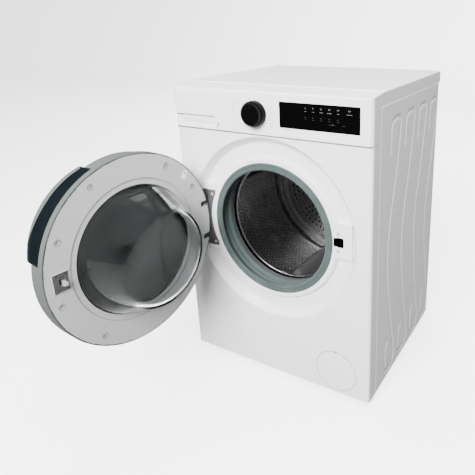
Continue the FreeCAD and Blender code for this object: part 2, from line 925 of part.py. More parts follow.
def belt_loop(big, small, away, thick, width):
    """A flat belt round a big wheel at the origin and a small one at a distance."""
    def filled(extra):
        large, little = big + extra, small + extra
        reach = away.Length
        lean = math.acos((large - little) / reach)
        heading = math.atan2(away.z, away.x)

        def rim(centre, radius, angle):
            return centre + Vector(radius * math.cos(angle), 0, radius * math.sin(angle))

        ends = {}
        for name, centre, radius in (("large", Vector(), large), ("little", away, little)):
            ends[name] = [rim(centre, radius, heading + side * lean) for side in SIDES]
        far = rim(Vector(), large, heading + math.pi)
        near = rim(away, little, heading)
        edges = [
            Part.Arc(ends["large"][0], far, ends["large"][1]).toShape(),
            Part.LineSegment(ends["large"][1], ends["little"][1]).toShape(),
            Part.Arc(ends["little"][1], near, ends["little"][0]).toShape(),
            Part.LineSegment(ends["little"][0], ends["large"][0]).toShape(),
        ]
        return Part.Face(Part.Wire(edges)).extrude(Vector(0, width, 0))

    return filled(thick).cut(filled(0))


# ---------------------------------------------------------------- suspension

def suspension():
    """Two hanging springs, and two dampers that slide as the tub moves."""
    depth = front(D.suspension_depth)
    coils = []
    for side in SIDES:
        path = Part.makeHelix(13.0, 130.0, 13.0)
        start = path.Edges[0].valueAt(path.Edges[0].FirstParameter)
        wire = Part.Wire(Part.makeCircle(1.8, start, Vector(0, 1, 0)))
        coil = Part.Wire(path.Edges).makePipeShell([wire], True, True)
        coil.translate(Vector(float(side * D.spring_side), float(depth), 592.0))
        coils.append(coil)
    springs = doc.addObject("Part::Feature", "springs")
    springs.Shape = Part.makeCompound(coils)
    node("suspension_springs", springs)
    cylinders = []
    rods = []
    for side in SIDES:
        x = side * D.damper_side
        cylinders.append(cut(rod(15, (x, depth, 44), "Z", 116), rod(9.3, (x, depth, 50), "Z", 120)))
        rods.append(rod(9, (x, depth, 70), "Z", 155.5))
    node("damper_cylinders", join(*cylinders))
    node("damper_rods", join(*rods))


# ---------------------------------------------------------------- water out

def drain():
    """Pump with its filter housing, the hoses to and from it, and the filter that unscrews."""
    x, z = D.hatch_side, D.hatch_height
    bore = D.filter_radius
    barrel = rod(bore + 4, (x, front(14), z), "Y", 100)
    volute = rod(42, (x, front(112), z), "Y", 26)
    motor = rod(28, (x, front(137), z), "Y", 62)
    intake = rod(16, (SUMP[0], SUMP[1], z), "Z", 72)
    outlet = join(
        rod(8, (OUTLET[0], front(125), OUTLET[1]), "X", 25),
        rod(8, (OUTLET[0], front(118), OUTLET[1]), "Y", 37),
    )
    chamber = rod(bore, (x, front(10), z), "Y", 96)
    node("drain_pump", cut(join(barrel, volute, motor, intake, outlet), chamber))

    sleeve = tube(21, 18.5, (SUMP[0], SUMP[1], 153), "Z", 110)
    ribs = [rod(24, (SUMP[0], SUMP[1], 168 + 12 * rib), "Z", 4) for rib in range(7)]
    node("sump_hose", cut(join(sleeve, *ribs), rod(18.5, (SUMP[0], SUMP[1], 150), "Z", 120)))

    start = front(156)
    spigot = D.outlet_radius
    run = tube(12, 8.5, (OUTLET[0], start, OUTLET[1]), "Y", BACK - 8 - start)
    tail = tube(spigot, 8.5, (OUTLET[0], BACK - 10, OUTLET[1]), "Y", 24)
    node("drain_hose", join(run, tail))

    disc = rod(bore + 5, (x, front(9), z), "Y", 4.6)
    grip = box((x - 26, x + 26), (front(5), front(9.5)), (z - 4, z + 4))
    plug = rod(bore - 0.3, (x, front(13), z), "Y", 14)
    basket = rod(22, (x, front(26), z), "Y", 66)
    hollow = rod(19.5, (x, front(30), z), "Y", 70)
    slots = [
        box((x - 30, x + 30), (front(36 + 14 * step), front(44 + 14 * step)), (z - 12, z + 12))
        for step in range(4)
    ]
    node("filter_cap", cut(join(disc, grip, plug, basket), hollow, *slots))


def filter_flap():
    """The round hatch in front of the filter, which drops forward on a barrel at its foot."""
    x, z = D.hatch_side, D.hatch_height
    y_axis, z_axis = FLAP_AXIS
    disc = rod(D.hatch_radius, (x, front(0.2), z), "Y", 2.5)
    barrel = rod(1.0, (x - 7, y_axis, z_axis), "X", 14)
    notch = box((x - 14, x + 14), (front(-1), front(1.4)), (z + D.hatch_radius - 5, z + D.hatch_radius + 1))
    node("filter_flap", cut(join(disc, barrel), notch))


# ---------------------------------------------------------------- electrics

def electrics():
    """The power module, and the gland that the mains lead comes in by."""
    case = box((192, 284), (front(330), front(480)), (60, 152))
    node("power_module", rounded(case, 4.0, lambda edge: runs_along(edge, "Z")))
    x, z = GLAND
    neck = rod(7, (x, BACK - 12, z), "Y", 13)
    flange = rod(11, (x, BACK + 0.3, z), "Y", 5)
    node("mains_gland", cut(join(neck, flange), rod(4, (x, BACK - 13, z), "Y", 20)))


# ---------------------------------------------------------------- door lock and hinge

def door_lock():
    """The lock behind the latch hole: a case with the pocket that takes the hook."""
    case = box((192, 232), (front(14), front(39)), (LATCH_Z - 34, LATCH_Z + 34))
    pocket = box((LATCH_X - 11, LATCH_X + 11), (front(13), front(36)), (LATCH_Z - 10, LATCH_Z + 10))
    bores = [rod(2.4, (x, front(12), z), "Y", 20) for x, z in FRONT_SCREWS[2:]]
    node("door_lock", cut(case, pocket, *bores))


def hinge_bracket():
    """The cast plate on the front panel, waisted at its right, with two bored ears."""
    y = front(D.land_depth)
    middle = D.port_height - 2
    plate = box((-238, -190), (y - 3.2, y - 0.2), (middle - 86, middle + 86))
    plate = overlap(plate, rod(D.dish_radius - 12, (0, y - 10, D.port_height), "Y", 20))
    waist = rod(160, (-209 + 160, y - 10, middle), "Y", 20)
    ears = []
    bores = []
    for height in EAR_HEIGHTS:
        ears.append(box((HINGE_X - 5, HINGE_X + 5), (HINGE_Y, y - 1), (height - 4, height + 4)))
        ears.append(rod(6.5, (HINGE_X, HINGE_Y, height - 4), "Z", 8))
        bores.append(rod(D.hinge_pin_radius + 0.05, (HINGE_X, HINGE_Y, height - 5), "Z", 10))
    holes = [rod(2.3, (x, y - 5, z), "Y", 10) for x, z in FRONT_SCREWS[:2]]
    relief = box((-245, HINGE_X + 8.5), (y - 6, y + 2), (EAR_HEIGHTS[0] + 7, EAR_HEIGHTS[1] - 7))
    node("hinge_bracket", cut(join(cut(plate, waist, relief), *ears), *bores, *holes))


def front_screws():
    """Four pan-head screws: two hold the hinge bracket and two hold the lock."""
    screws = []
    for index, (x, z) in enumerate(FRONT_SCREWS):
        seat = front(D.land_depth) - (3.4 if index < 2 else 0.2)
        screws.append(join(rod(4.2, (x, seat - 2.2, z), "Y", 2.2), rod(2.1, (x, seat - 0.5, z), "Y", 16)))
    node("front_screws", join(*screws))


# ---------------------------------------------------------------- door

def ear_notches():
    """The room that the bracket's ears need as the door swings past them."""
    return [
        box((-252, HINGE_X + 12), (front(-22), front(6)), (height - 8, height + 8))
        for height in EAR_HEIGHTS
    ]


def leaf_room():
    """The room behind the inner ring for the leaf's eyes."""
    return [
        box((HINGE_X - 8, HINGE_X + 12), (front(-22), front(2.4)), (height - 14, height + 14))
        for height in EAR_HEIGHTS
    ]


def door_inner_ring():
    """The pale ring on the door's inner side, stepped round the glass."""
    radius = D.door_radius
    glass = D.glass_radius
    ring = turned(
        [
            (glass + 2, 1),
            (glass + 16, 1),
            (glass + 18, 2.5),
            (radius - 5.5, 2.5),
            (radius - 5.5, -9),
            (radius - 3, -9),
            (radius - 3, 5),
            (glass + 18, 5),
            (glass + 16, 3.5),
            (glass + 2, 3.5),
        ],
        PORT,
    )
    holes = [rod(4.8, (x, front(-12), z), "Y", 20) for x, z in screw_places()]
    hook_slot = box((197, 211), (front(-2), front(6)), (LATCH_Z - 9, LATCH_Z + 9))
    cheeks = [
        box((197, 208), (front(-9), front(3)), (LATCH_Z + side * 12 - 2, LATCH_Z + side * 12 + 2))
        for side in SIDES
    ]
    pin_bore = rod(1.55, (HOOK_PIVOT[0], HOOK_PIVOT[1], LATCH_Z - 20), "Z", 40)
    ring = cut(ring, *ear_notches(), *leaf_room(), *holes, hook_slot)
    node("door_inner_ring", swung(cut(join(ring, *cheeks), pin_bore)))


def screw_places():
    return [on_circle(radius, angle) for radius, angle in DOOR_SCREWS]


def door_outer_ring():
    """The silver ring that forms the door's side, with a boss for each screw."""
    radius = D.door_radius
    ring = turned(
        [
            (206, -26.5),
            (206, -24),
            (radius - 2.6, -21),
            (radius - 2.6, 4.5),
            (radius, 4.5),
            (radius, -18),
            (radius - 4, -25),
            (radius - 12, -29),
            (208, -29),
        ],
        PORT,
    )
    bosses = [rod(4.6, (x, front(-25), z), "Y", 22) for x, z in screw_places()]
    bores = [rod(2.2, (x, front(-22), z), "Y", 22) for x, z in screw_places()]
    node("door_outer_ring", swung(cut(join(ring, *bosses), *ear_notches(), *bores)))


def door_cover():
    """The dark domed cover on the outside of the door."""
    dome = turned(
        [
            (0, -50),
            (120, -48),
            (180, -43.5),
            (215, -37),
            (233, -29.3),
            (229, -29.3),
            (212, -34),
            (178, -40.5),
            (119, -45),
            (0, -47),
        ],
        PORT,
    )
    node("door_cover", swung(dome))


def door_grip():
    """The crescent lip at the free edge that the hand pulls on."""
    x, z = on_circle(GRIP_OFFSET, GRIP_ANGLE)
    lens = rod(GRIP_RADIUS, (x, front(-46), z), "Y", 16.6)
    hollow = rod(D.door_radius - 11, (0, front(-60), D.port_height), "Y", 40)
    node("door_grip", swung(cut(lens, hollow)))


def door_glass():
    """The clear bowl that keeps the washing off the seal."""
    radius = D.glass_radius
    deep = D.bowl_depth
    bowl = turned(
        [
            (0, deep),
            (radius - 56, deep),
            (radius - 45, deep - 5),
            (radius - 36, deep - 18),
            (radius - 12, 35),
            (radius, 4),
            (radius, 0.5),
            (radius + 15, 0.5),
            (radius + 15, -3.5),
            (radius - 4, -3.5),
            (radius - 4, 4),
            (radius - 16, 34),
            (radius - 40, deep - 18),
            (radius - 48, deep - 8),
            (radius - 57, deep - 4),
            (0, deep - 4),
        ],
        PORT,
    )
    node("door_glass", swung(bowl))


def hinge_leaf():
    """The leaf inside the door, with two eyes beside each ear, and the door's three pins."""
    plate = box(
        (HINGE_X + 13, -196), (front(-4), front(-1)), (EAR_HEIGHTS[0] - 26, EAR_HEIGHTS[1] + 26)
    )
    eyes = []
    bores = []
    pins = []
    reach = D.hinge_pin_radius
    for height in EAR_HEIGHTS:
        for low in (height - 12, height + 4.3):
            eyes.append(rod(6.2, (HINGE_X, HINGE_Y, low), "Z", 7.7))
            eyes.append(box((HINGE_X, HINGE_X + 14), (HINGE_Y - 2.5, HINGE_Y + 2.5), (low, low + 7.7)))
            eyes.append(box((HINGE_X + 11, HINGE_X + 14), (HINGE_Y - 2, front(-1)), (low, low + 7.7)))
        bores.append(rod(reach + 0.02, (HINGE_X, HINGE_Y, height - 13), "Z", 26))
        pins.append(rod(reach, (HINGE_X, HINGE_Y, height - 12), "Z", 24))
    node("hinge_leaf", swung(cut(join(plate, *eyes), *bores)))
    hook_pin = rod(1.5, (HOOK_PIVOT[0], HOOK_PIVOT[1], LATCH_Z - 14), "Z", 28)
    node("door_pins", swung(join(*pins, hook_pin)))


def door_screws():
    """Eight screws from the inner ring into the outer ring's bosses."""
    screws = []
    for x, z in screw_places():
        screws.append(join(rod(4.2, (x, front(1.6), z), "Y", 2.4), rod(2.1, (x, front(-19), z), "Y", 21)))
    node("door_screws", swung(join(*screws)))


def hook_parts():
    """The plate on the door's free edge and the sprung hook that the lock catches."""
    plate = box((188, 226), (front(5.2), front(6.6)), (LATCH_Z - 24, LATCH_Z + 24))
    slot = box((197, 212), (front(5), front(7)), (LATCH_Z - 9, LATCH_Z + 9))
    holes = [rod(1.8, (x, front(4), LATCH_Z + z), "Y", 4) for x in (193, 220) for z in (-17, 17)]
    node("hook_plate", swung(cut(plate, slot, *holes)))
    x, y = HOOK_PIVOT
    hook = padded(
        [
            (x - 2.5, y - 3),
            (x + 2.5, y - 3),
            (x + 2.5, front(15)),
            (x + 7, front(16)),
            (x + 5, front(21)),
            (x + 1, front(25)),
            (x - 2.5, front(25)),
        ],
        8,
        at=(0, 0, LATCH_Z),
    )
    node("door_hook", swung(cut(hook, rod(1.55, (x, y, LATCH_Z - 10), "Z", 20))))


# ---------------------------------------------------------------- build and write

BUILDERS = (
    side_panels, front_panel, rear_panel, base_tray, levelling_feet, worktop, cross_brace,
    console, display_window, control_board, selector_knob,
    dispenser_housing, drawer, inlet_valve, dispenser_bellows,
    tub, bearings, counterweights, heating_element, door_seal,
    drum, drive, suspension, drain, filter_flap, electrics,
    door_lock, hinge_bracket, front_screws,
    door_inner_ring, door_outer_ring, door_cover, door_grip, door_glass,
    hinge_leaf, door_screws, hook_parts,
)

for build in BUILDERS:
    build()
doc.recompute()

broken = [thing.Label for thing in doc.Objects if {"Invalid", "Error"} & set(thing.State)]
broken += [name for name, thing in NODES.items() if thing.Shape.isNull() or not thing.Shape.isValid()]
if broken:
    raise RuntimeError(f"these did not build: {broken}")

os.makedirs("parts", exist_ok=True)
for name, thing in NODES.items():
    thing.Shape.exportStep(os.path.join("parts", f"{name}.step"))
print(len(NODES), "sub-parts written")
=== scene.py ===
"""Looks of a front load washing machine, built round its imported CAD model.

Metres, +Z up, the front faces -Y and X runs to the right of someone in front of it.
"""
import json
import random
from math import cos, degrees, hypot, pi, radians, sin, sqrt

import bmesh
import bpy
import numpy as np
from mathutils import Matrix, Vector

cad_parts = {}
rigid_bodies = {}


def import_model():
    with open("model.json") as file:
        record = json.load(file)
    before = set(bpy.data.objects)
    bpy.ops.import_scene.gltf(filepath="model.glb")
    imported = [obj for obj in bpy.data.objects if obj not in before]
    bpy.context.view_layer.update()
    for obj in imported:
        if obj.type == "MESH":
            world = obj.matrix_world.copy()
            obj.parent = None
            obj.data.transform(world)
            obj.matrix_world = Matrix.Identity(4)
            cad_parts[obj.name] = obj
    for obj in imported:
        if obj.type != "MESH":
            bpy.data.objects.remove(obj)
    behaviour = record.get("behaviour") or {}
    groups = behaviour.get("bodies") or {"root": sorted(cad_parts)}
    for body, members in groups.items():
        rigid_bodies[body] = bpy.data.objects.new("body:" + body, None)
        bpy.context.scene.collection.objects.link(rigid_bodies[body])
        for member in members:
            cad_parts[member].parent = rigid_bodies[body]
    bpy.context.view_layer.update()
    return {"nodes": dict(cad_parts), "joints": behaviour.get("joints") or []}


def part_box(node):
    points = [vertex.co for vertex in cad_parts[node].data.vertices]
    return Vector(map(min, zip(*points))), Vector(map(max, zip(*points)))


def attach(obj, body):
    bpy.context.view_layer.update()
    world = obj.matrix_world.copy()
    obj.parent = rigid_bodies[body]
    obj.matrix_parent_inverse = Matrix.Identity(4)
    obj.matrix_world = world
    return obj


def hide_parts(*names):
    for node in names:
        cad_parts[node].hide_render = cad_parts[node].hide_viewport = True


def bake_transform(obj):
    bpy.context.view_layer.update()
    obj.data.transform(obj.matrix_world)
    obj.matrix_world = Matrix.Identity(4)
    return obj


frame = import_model()
NODES = frame["nodes"]
JOINTS = {joint["name"]: joint for joint in frame["joints"]}
TAU = 2 * pi
MM = 0.001


def mm(*values):
    """Millimetres as a tuple of metres."""
    return tuple(value * MM for value in values)


def mm_points(*pairs, base=(0, 0)):
    """Pairs in millimetres, counted from a base in metres, as a list of pairs in metres."""
    return [(base[0] + a * MM, base[1] + b * MM) for a, b in pairs]


def shift(x, y, z):
    return Matrix.Translation((x, y, z))


def turned(angle, axis="Y"):
    """A turn by an angle in degrees."""
    return Matrix.Rotation(radians(angle), 4, axis)


def middle(name):
    """The centre of a node's box."""
    return [(low + high) / 2 for low, high in zip(*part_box(name))]


# ---- places taken from the frame

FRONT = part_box("front_panel")[0].y
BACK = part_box("rear_panel")[1].y
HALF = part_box("worktop")[1].x
PORT_Z = middle("door_seal")[2]
HINGE = JOINTS["door_swing"]
PIVOT = Vector(HINGE["pos_m"])
SWING = Matrix.Translation(PIVOT) @ turned(-HINGE["range_deg"][1], "Z") @ Matrix.Translation(-PIVOT)
TO_PORT = shift(0, FRONT, PORT_Z)
AXIS = shift(0, 0, PORT_Z)
# turns what faces the front so that it faces the back
FACE_OUT = turned(180, "Z")


# ---- meshes

def new_object(name, data):
    thing = bpy.data.objects.new(name, data)
    bpy.context.scene.collection.objects.link(thing)
    return thing


class Shape:
    """Vertices and faces gathered from several simple forms."""

    def __init__(self):
        self.verts = []
        self.faces = []

    def add(self, verts, faces, at=None):
        first = len(self.verts)
        self.verts += [at @ Vector(v) if at else Vector(v) for v in verts]
        self.faces += [[i + first for i in face] for face in faces]
        return self

    def block(self, low, high, at=None, bevel=0.0):
        """A box with chamfered vertical and horizontal edges."""
        form = bmesh.new()
        bmesh.ops.create_cube(form, size=1.0)
        size = Vector(high) - Vector(low)
        middle = (Vector(high) + Vector(low)) / 2
        for v in form.verts:
            v.co = Vector((v.co.x * size.x, v.co.y * size.y, v.co.z * size.z)) + middle
        if bevel:
            bmesh.ops.bevel(form, geom=form.edges[:], offset=bevel, segments=3, profile=0.5, affect="EDGES")
        return self.take(form, at)

    def take(self, form, at=None):
        form.verts.ensure_lookup_table()
        form.verts.index_update()
        self.add([v.co.copy() for v in form.verts], [[v.index for v in f.verts] for f in form.faces], at)
        form.free()
        return self

    def lathe(self, points, at=None, steps=96, closed=True, wave=None):
        """Points (radius, depth) turned round the Y axis. wave(angle, radius, depth) moves a point."""
        verts = []
        for k in range(steps):
            angle = TAU * k / steps
            for radius, depth in points:
                r, y = wave(angle, radius, depth) if wave else (radius, depth)
                verts.append((r * cos(angle), y, r * sin(angle)))
        count = len(points)
        runs = count if closed else count - 1
        faces = []
        for k in range(steps):
            here, there = k * count, (k + 1) % steps * count
            for i in range(runs):
                j = (i + 1) % count
                faces.append([here + i, here + j, there + j, there + i])
        return self.add(verts, faces, at)

    def extrude(self, outline, low, high, at=None):
        """A closed outline of (x, z) made solid between two depths in Y."""
        count = len(outline)
        verts = [(x, low, z) for x, z in outline] + [(x, high, z) for x, z in outline]
        sides = [[i, (i + 1) % count, (i + 1) % count + count, i + count] for i in range(count)]
        ends = [list(range(count)), list(range(2 * count - 1, count - 1, -1))]
        return self.add(verts, sides + ends, at)

    def piece(self, name, body, surface, slot=None, smooth=30):
        """Makes a mesh object in its surface's material that rides on a CAD body when one is given; the slot
        argument is not used.
        """
        mesh = bpy.data.meshes.new(name)
        mesh.from_pydata([tuple(v) for v in self.verts], [], self.faces)
        mesh.validate()
        clean = bmesh.new()
        clean.from_mesh(mesh)
        bmesh.ops.remove_doubles(clean, verts=clean.verts, dist=1e-6)
        bmesh.ops.recalc_face_normals(clean, faces=clean.faces)
        clean.to_mesh(mesh)
        clean.free()
        mesh.shade_smooth()
        mesh.set_sharp_from_angle(angle=radians(smooth))
        thing = new_object(name, mesh)
        mesh.materials.append(SURFACE[surface])
        if body:
            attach(thing, body)
        slot = slot or surface
        return thing


def rounded_outline(width, height, radius, centre=(0, 0), steps=6):
    """A rounded rectangle as (x, z) points; its sizes are in millimetres and its centre in metres."""
    width, height, radius = mm(width, height, radius)
    points = []
    for sx, sz, start in ((1, 1, 0), (-1, 1, 90), (-1, -1, 180), (1, -1, 270)):
        cx = centre[0] + sx * (width / 2 - radius)
        cz = centre[1] + sz * (height / 2 - radius)
        for k in range(steps + 1):
            angle = radians(start + 90 * k / steps)
            points.append((cx + radius * cos(angle), cz + radius * sin(angle)))
    return points


# ---- materials

class Finish:
    """A node material built in a few words."""

    def __init__(self, name, roughness=0.5, metallic=0.0, **sockets):
        self.material = bpy.data.materials.new(name)
        self.material.use_nodes = True
        self.tree = self.material.node_tree
        self.shader = self.tree.nodes["Principled BSDF"]
        self.put("Metallic", metallic)
        self.put("Roughness", roughness)
        for socket, value in sockets.items():
            self.put(socket.replace("_", " "), value)

    def put(self, socket, value):
        self.shader.inputs[socket].default_value = value
        return self

    def node(self, kind, **settings):
        made = self.tree.nodes.new(kind)
        for key, value in settings.items():
            if key in made.inputs:
                made.inputs[key].default_value = value
            else:
                setattr(made, key, value)
        return made

    def link(self, output, target):
        self.tree.links.new(output, target)

    def place(self, stretch=(1, 1, 1)):
        """Object coordinates, stretched where a grain runs one way."""
        coordinates = self.node("ShaderNodeTexCoord")
        mapping = self.node("ShaderNodeMapping", Scale=stretch)
        self.link(coordinates.outputs["Object"], mapping.inputs["Vector"])
        return mapping.outputs["Vector"]

    def noise(self, scale, detail=3.0, stretch=(1, 1, 1), rough=0.5):
        texture = self.node("ShaderNodeTexNoise", Scale=scale, Detail=detail, Roughness=rough)
        self.link(self.place(stretch), texture.inputs["Vector"])
        return texture.outputs["Fac"]

    def cells(self, scale, feature="F1", output="Distance"):
        texture = self.node("ShaderNodeTexVoronoi", feature=feature, Scale=scale)
        self.link(self.place(), texture.inputs["Vector"])
        return texture.outputs[output]

    def ramp(self, value, stops):
        """A colour ramp from (position, colour) stops."""
        ramp = self.node("ShaderNodeValToRGB")
        bar = ramp.color_ramp
        while len(bar.elements) < len(stops):
            bar.elements.new(0.5)
        for element, (position, colour) in zip(bar.elements, stops):
            element.position = position
            element.color = (*colour, 1)
        self.link(value, ramp.inputs["Fac"])
        return ramp.outputs["Color"]

    def colour(self, value, dark, light, low=0.3, high=0.7):
        """Base colour between two tones; a single number is a grey."""
        stops = [(low, grey(dark)), (high, grey(light))]
        self.link(self.ramp(value, stops), self.shader.inputs["Base Color"])
        return self

    def rough(self, value, low, high):
        """Roughness that varies with a pattern."""
        limits = {"From Min": 0.3, "From Max": 0.7, "To Min": low, "To Max": high}
        spread = self.node("ShaderNodeMapRange", **limits)
        self.link(value, spread.inputs["Value"])
        self.link(spread.outputs["Result"], self.shader.inputs["Roughness"])
        return self

    def bump(self, value, height, strength=1.0):
        """Adds a relief of a real height in metres; calls stack."""
        relief = self.node("ShaderNodeBump", Strength=strength, Distance=height)
        self.link(value, relief.inputs["Height"])
        before = self.shader.inputs["Normal"].links
        if before:
            self.link(before[0].from_socket, relief.inputs["Normal"])
        self.link(relief.outputs["Normal"], self.shader.inputs["Normal"])
        return self


def grey(value, tint=(0, 0, 0)):
    """A grey from one number; a colour stays as it is."""
    return value if isinstance(value, tuple) else tuple(value + t for t in tint)


def painted(name, dark, light, low, high, coat=0.35):
    """Enamelled sheet: a faint orange peel, slow changes of tone, and a clear coat."""
    finish = Finish(name, Coat_Weight=coat, Coat_Roughness=0.08)
    finish.colour(finish.noise(3, 4), dark, light)
    finish.rough(finish.noise(9, 5), low, high)
    finish.bump(finish.noise(420, 2), 0.04 * MM, 0.25)
    return finish.bump(finish.noise(14, 1), 0.05 * MM, 0.05)


def moulded(name, dark, light, low, high, grain=1600.0, depth=0.03, coat=0.0):
    """Injection-moulded plastic: fine spark-eroded grain and slight flow marks."""
    finish = Finish(name, Coat_Weight=coat, Coat_Roughness=0.05)
    finish.colour(finish.noise(7, 5, rough=0.6), dark, light)
    finish.rough(finish.noise(30, 4), low, high)
    return finish.bump(finish.noise(grain, 3), depth * MM, 0.5)


def metal(name, dark, light, low, high, stretch=(1, 1, 1), scale=300.0, depth=0.02, metallic=1.0):
    """Bare metal with a drawn or cast grain."""
    finish = Finish(name, metallic=metallic)
    finish.colour(finish.noise(scale / 12, 4, stretch), dark, light)
    finish.rough(finish.noise(scale, 3, stretch), low, high)
    return finish.bump(finish.noise(scale * 2, 3, stretch), depth * MM, 0.5)


def galvanised():
    finish = metal("galvanised_sheet", 0.46, 0.58, 0.34, 0.5)
    spangle = finish.node("ShaderNodeSeparateColor")
    finish.link(finish.cells(190, output="Color"), spangle.inputs["Color"])
    blue = (0, 0.01, 0.02)
    return finish.colour(spangle.outputs["Red"], grey(0.5, blue), grey(0.6, blue), 0.1, 0.9)


def rubber(name, dark, light, low=0.42, high=0.6):
    """Moulded rubber with a dusty bloom."""
    finish = Finish(name, Sheen_Weight=0.15)
    finish.colour(finish.noise(16, 6, rough=0.65), dark, light)
    finish.rough(finish.noise(50, 4), low, high)
    finish.bump(finish.noise(900, 3), 0.04 * MM, 0.6)
    return finish.bump(finish.noise(40, 3), 0.25 * MM, 0.25)


def glass():
    finish = Finish("door_glass_clear", Transmission_Weight=1.0, IOR=1.21, Specular_IOR_Level=0.12)
    finish.colour(finish.noise(5, 2), (0.78, 0.81, 0.81), (0.86, 0.88, 0.88))
    finish.rough(finish.noise(14, 4), 0.012, 0.04)
    return finish.bump(finish.noise(11, 1), 0.5 * MM, 0.2)


def board():
    """A green circuit board with tracks and solder spots."""
    finish = Finish("circuit_board_green", Coat_Weight=0.4)
    finish.colour(finish.cells(120, "SMOOTH_F1"), (0.012, 0.09, 0.03), (0.03, 0.17, 0.06))
    finish.rough(finish.noise(60), 0.3, 0.5)
    return finish.bump(finish.cells(240), 0.2 * MM, 0.5)


def concrete():
    finish = Finish("counterweight_concrete")
    finish.colour(finish.noise(60, 8, rough=0.7), 0.22, 0.44)
    finish.rough(finish.noise(90, 4), 0.8, 0.95)
    finish.bump(finish.cells(160), 0.6 * MM, 0.6)
    return finish.bump(finish.noise(300, 6), 0.3 * MM, 0.7)


def pearl(name, dark, light):
    """Metallic lacquer: fine flakes under a clear coat."""
    finish = Finish(name, metallic=0.35, Coat_Weight=0.5, Coat_Roughness=0.06)
    finish.colour(finish.noise(2500, 2), dark, light)
    finish.rough(finish.noise(20, 4), 0.24, 0.34)
    return finish.bump(finish.noise(500, 2), 0.03 * MM, 0.3)


def dark_gloss(name, dark, light, low, high, specular):
    """Dark glossy plastic that mirrors a white room only weakly."""
    finish = moulded(name, dark, light, low, high, 400.0, 0.004)
    return finish.put("Specular IOR Level", specular)


def glowing(name, colour, strength):
    """A lit sign in a display."""
    finish = moulded(name, 0.12, 0.16, 0.3, 0.4)
    finish.put("Emission Color", (*colour, 1))
    return finish.put("Emission Strength", strength)


SILVER_TINT = (0, 0.016, 0.011)


FINISHES = {
    "painted_steel": painted("enamel_white", 0.815, 0.83, 0.27, 0.33),
    "galvanised_steel": galvanised(),
    "white_plastic": moulded("plastic_white", 0.82, 0.835, 0.28, 0.36, coat=0.2),
    "worktop_white": painted("laminate_white", 0.81, 0.83, 0.30, 0.38, 0.15),
    "black_gloss": dark_gloss("gloss_black", 0.0008, 0.0014, 0.05, 0.1, 0.025),
    "knob_black": dark_gloss("satin_black", 0.001, 0.002, 0.22, 0.3, 0.035),
    "circuit_board": board(),
    "grey_plastic": moulded("plastic_grey", 0.30, 0.36, 0.4, 0.55),
    "ring_grey": moulded("plastic_ring_grey", 0.44, 0.47, 0.36, 0.46, 1500.0, 0.03),
    # painted shade: the silver is kept dark, about 0.13, for the ring's wall that faces away from the lights
    "ring_silver": pearl("lacquer_silver_shaded", grey(0.12, SILVER_TINT), grey(0.15, SILVER_TINT)),
    "cover_dark": dark_gloss(
        "cover_blue_black", (0.0015, 0.003, 0.004), (0.003, 0.0055, 0.007), 0.05, 0.12, 0.3),
    "glass_clear": glass(),
    "seal_rubber": rubber("seal_grey_green", (0.042, 0.060, 0.058), (0.058, 0.080, 0.077)),
    "black_rubber": rubber("rubber_black", 0.02, 0.035),
    "stainless": metal("stainless_drawn", 0.42, 0.52, 0.25, 0.34, (1, 8, 1), 160.0, 0.01),
    "zinc_cast": metal(
        "zinc_cast", 0.11, 0.15, 0.42, 0.58, scale=400.0, depth=0.06, metallic=0.6),
    "bright_steel": metal("steel_bright", 0.56, 0.66, 0.2, 0.34, metallic=0.6),
    "tub_plastic": moulded("plastic_tub", 0.055, 0.075, 0.5, 0.65, 700.0, 0.08),
    "concrete": concrete(),
    "aluminium_cast": metal("aluminium_cast", 0.48, 0.58, 0.4, 0.55, scale=240.0, depth=0.08),
    "lifter_plastic": moulded("plastic_lifter", 0.035, 0.05, 0.35, 0.5),
    # surfaces that only the added pieces have
    "ink": moulded("ink_grey", 0.36, 0.42, 0.5, 0.6),
    # painted shadow: a dark grey laid in gaps and under edges where shade falls
    "gap": moulded("gap_shadow_grey", 0.13, 0.17, 0.5, 0.6),
    # painted shade in the door's screw cups and on the ring's step lines, and also the print of the label's
    # mark
    "groove": moulded("groove_shade_and_print_grey", 0.22, 0.27, 0.5, 0.6),
    "print": moulded("print_grey", 0.028, 0.034, 0.7, 0.8).put("Specular IOR Level", 0.1),
    "paper": moulded("label_paper", 0.80, 0.86, 0.5, 0.6),
    "glow": glowing("display_light", (0.9, 0.95, 1.0), 0.08),
    "dim_glow": moulded("display_print", 0.018, 0.026, 0.3, 0.4),
    "dark_chrome": metal("dark_chrome", 0.09, 0.14, 0.1, 0.18),
}
SURFACE = {slot: finish.material for slot, finish in FINISHES.items()}

for cad in NODES.values():
    for holder in cad.material_slots:
        holder.material = SURFACE[holder.material.name.split(".")[0]]
    cad.data.shade_smooth()
    cad.data.set_sharp_from_angle(angle=radians(24))


# ---- cabinet sides and back

SIDE_LOW, SIDE_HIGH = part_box("side_panel_right")
SHEET = 1.2 * MM
BEAD_PITCH = 107 * MM
BEAD_DEPTH = 2.4 * MM
BEAD_WIDTH = 4.2 * MM
# one pressed bead as (depth behind the front, height) in millimetres: a line bowed towards the front,
# with a hook at its head and foot that each end in a short leg
BEAD_LINE = ((113, 688), (113, 740), (119, 758), (134, 767), (168, 769), (181, 762), (180, 735), (163, 650),
    (135, 550), (113, 470), (107, 410), (113, 330), (136, 225), (166, 120), (180, 74), (182, 50), (172, 36),
    (150, 31), (124, 30), (114, 44), (112, 104), (116, 118), (124, 123))
BEAD_DIMPLE = 5.5 * MM


def smooth_line(points, times=3):
    """Corners cut evenly until a line of points is round."""
    points = [np.array(p, float) for p in points]
    for _ in range(times):
        cut = [points[0]]
        for a, b in zip(points[:-1], points[1:]):
            cut += [0.75 * a + 0.25 * b, 0.25 * a + 0.75 * b]
        points = cut + [points[-1]]
    return np.array(points)


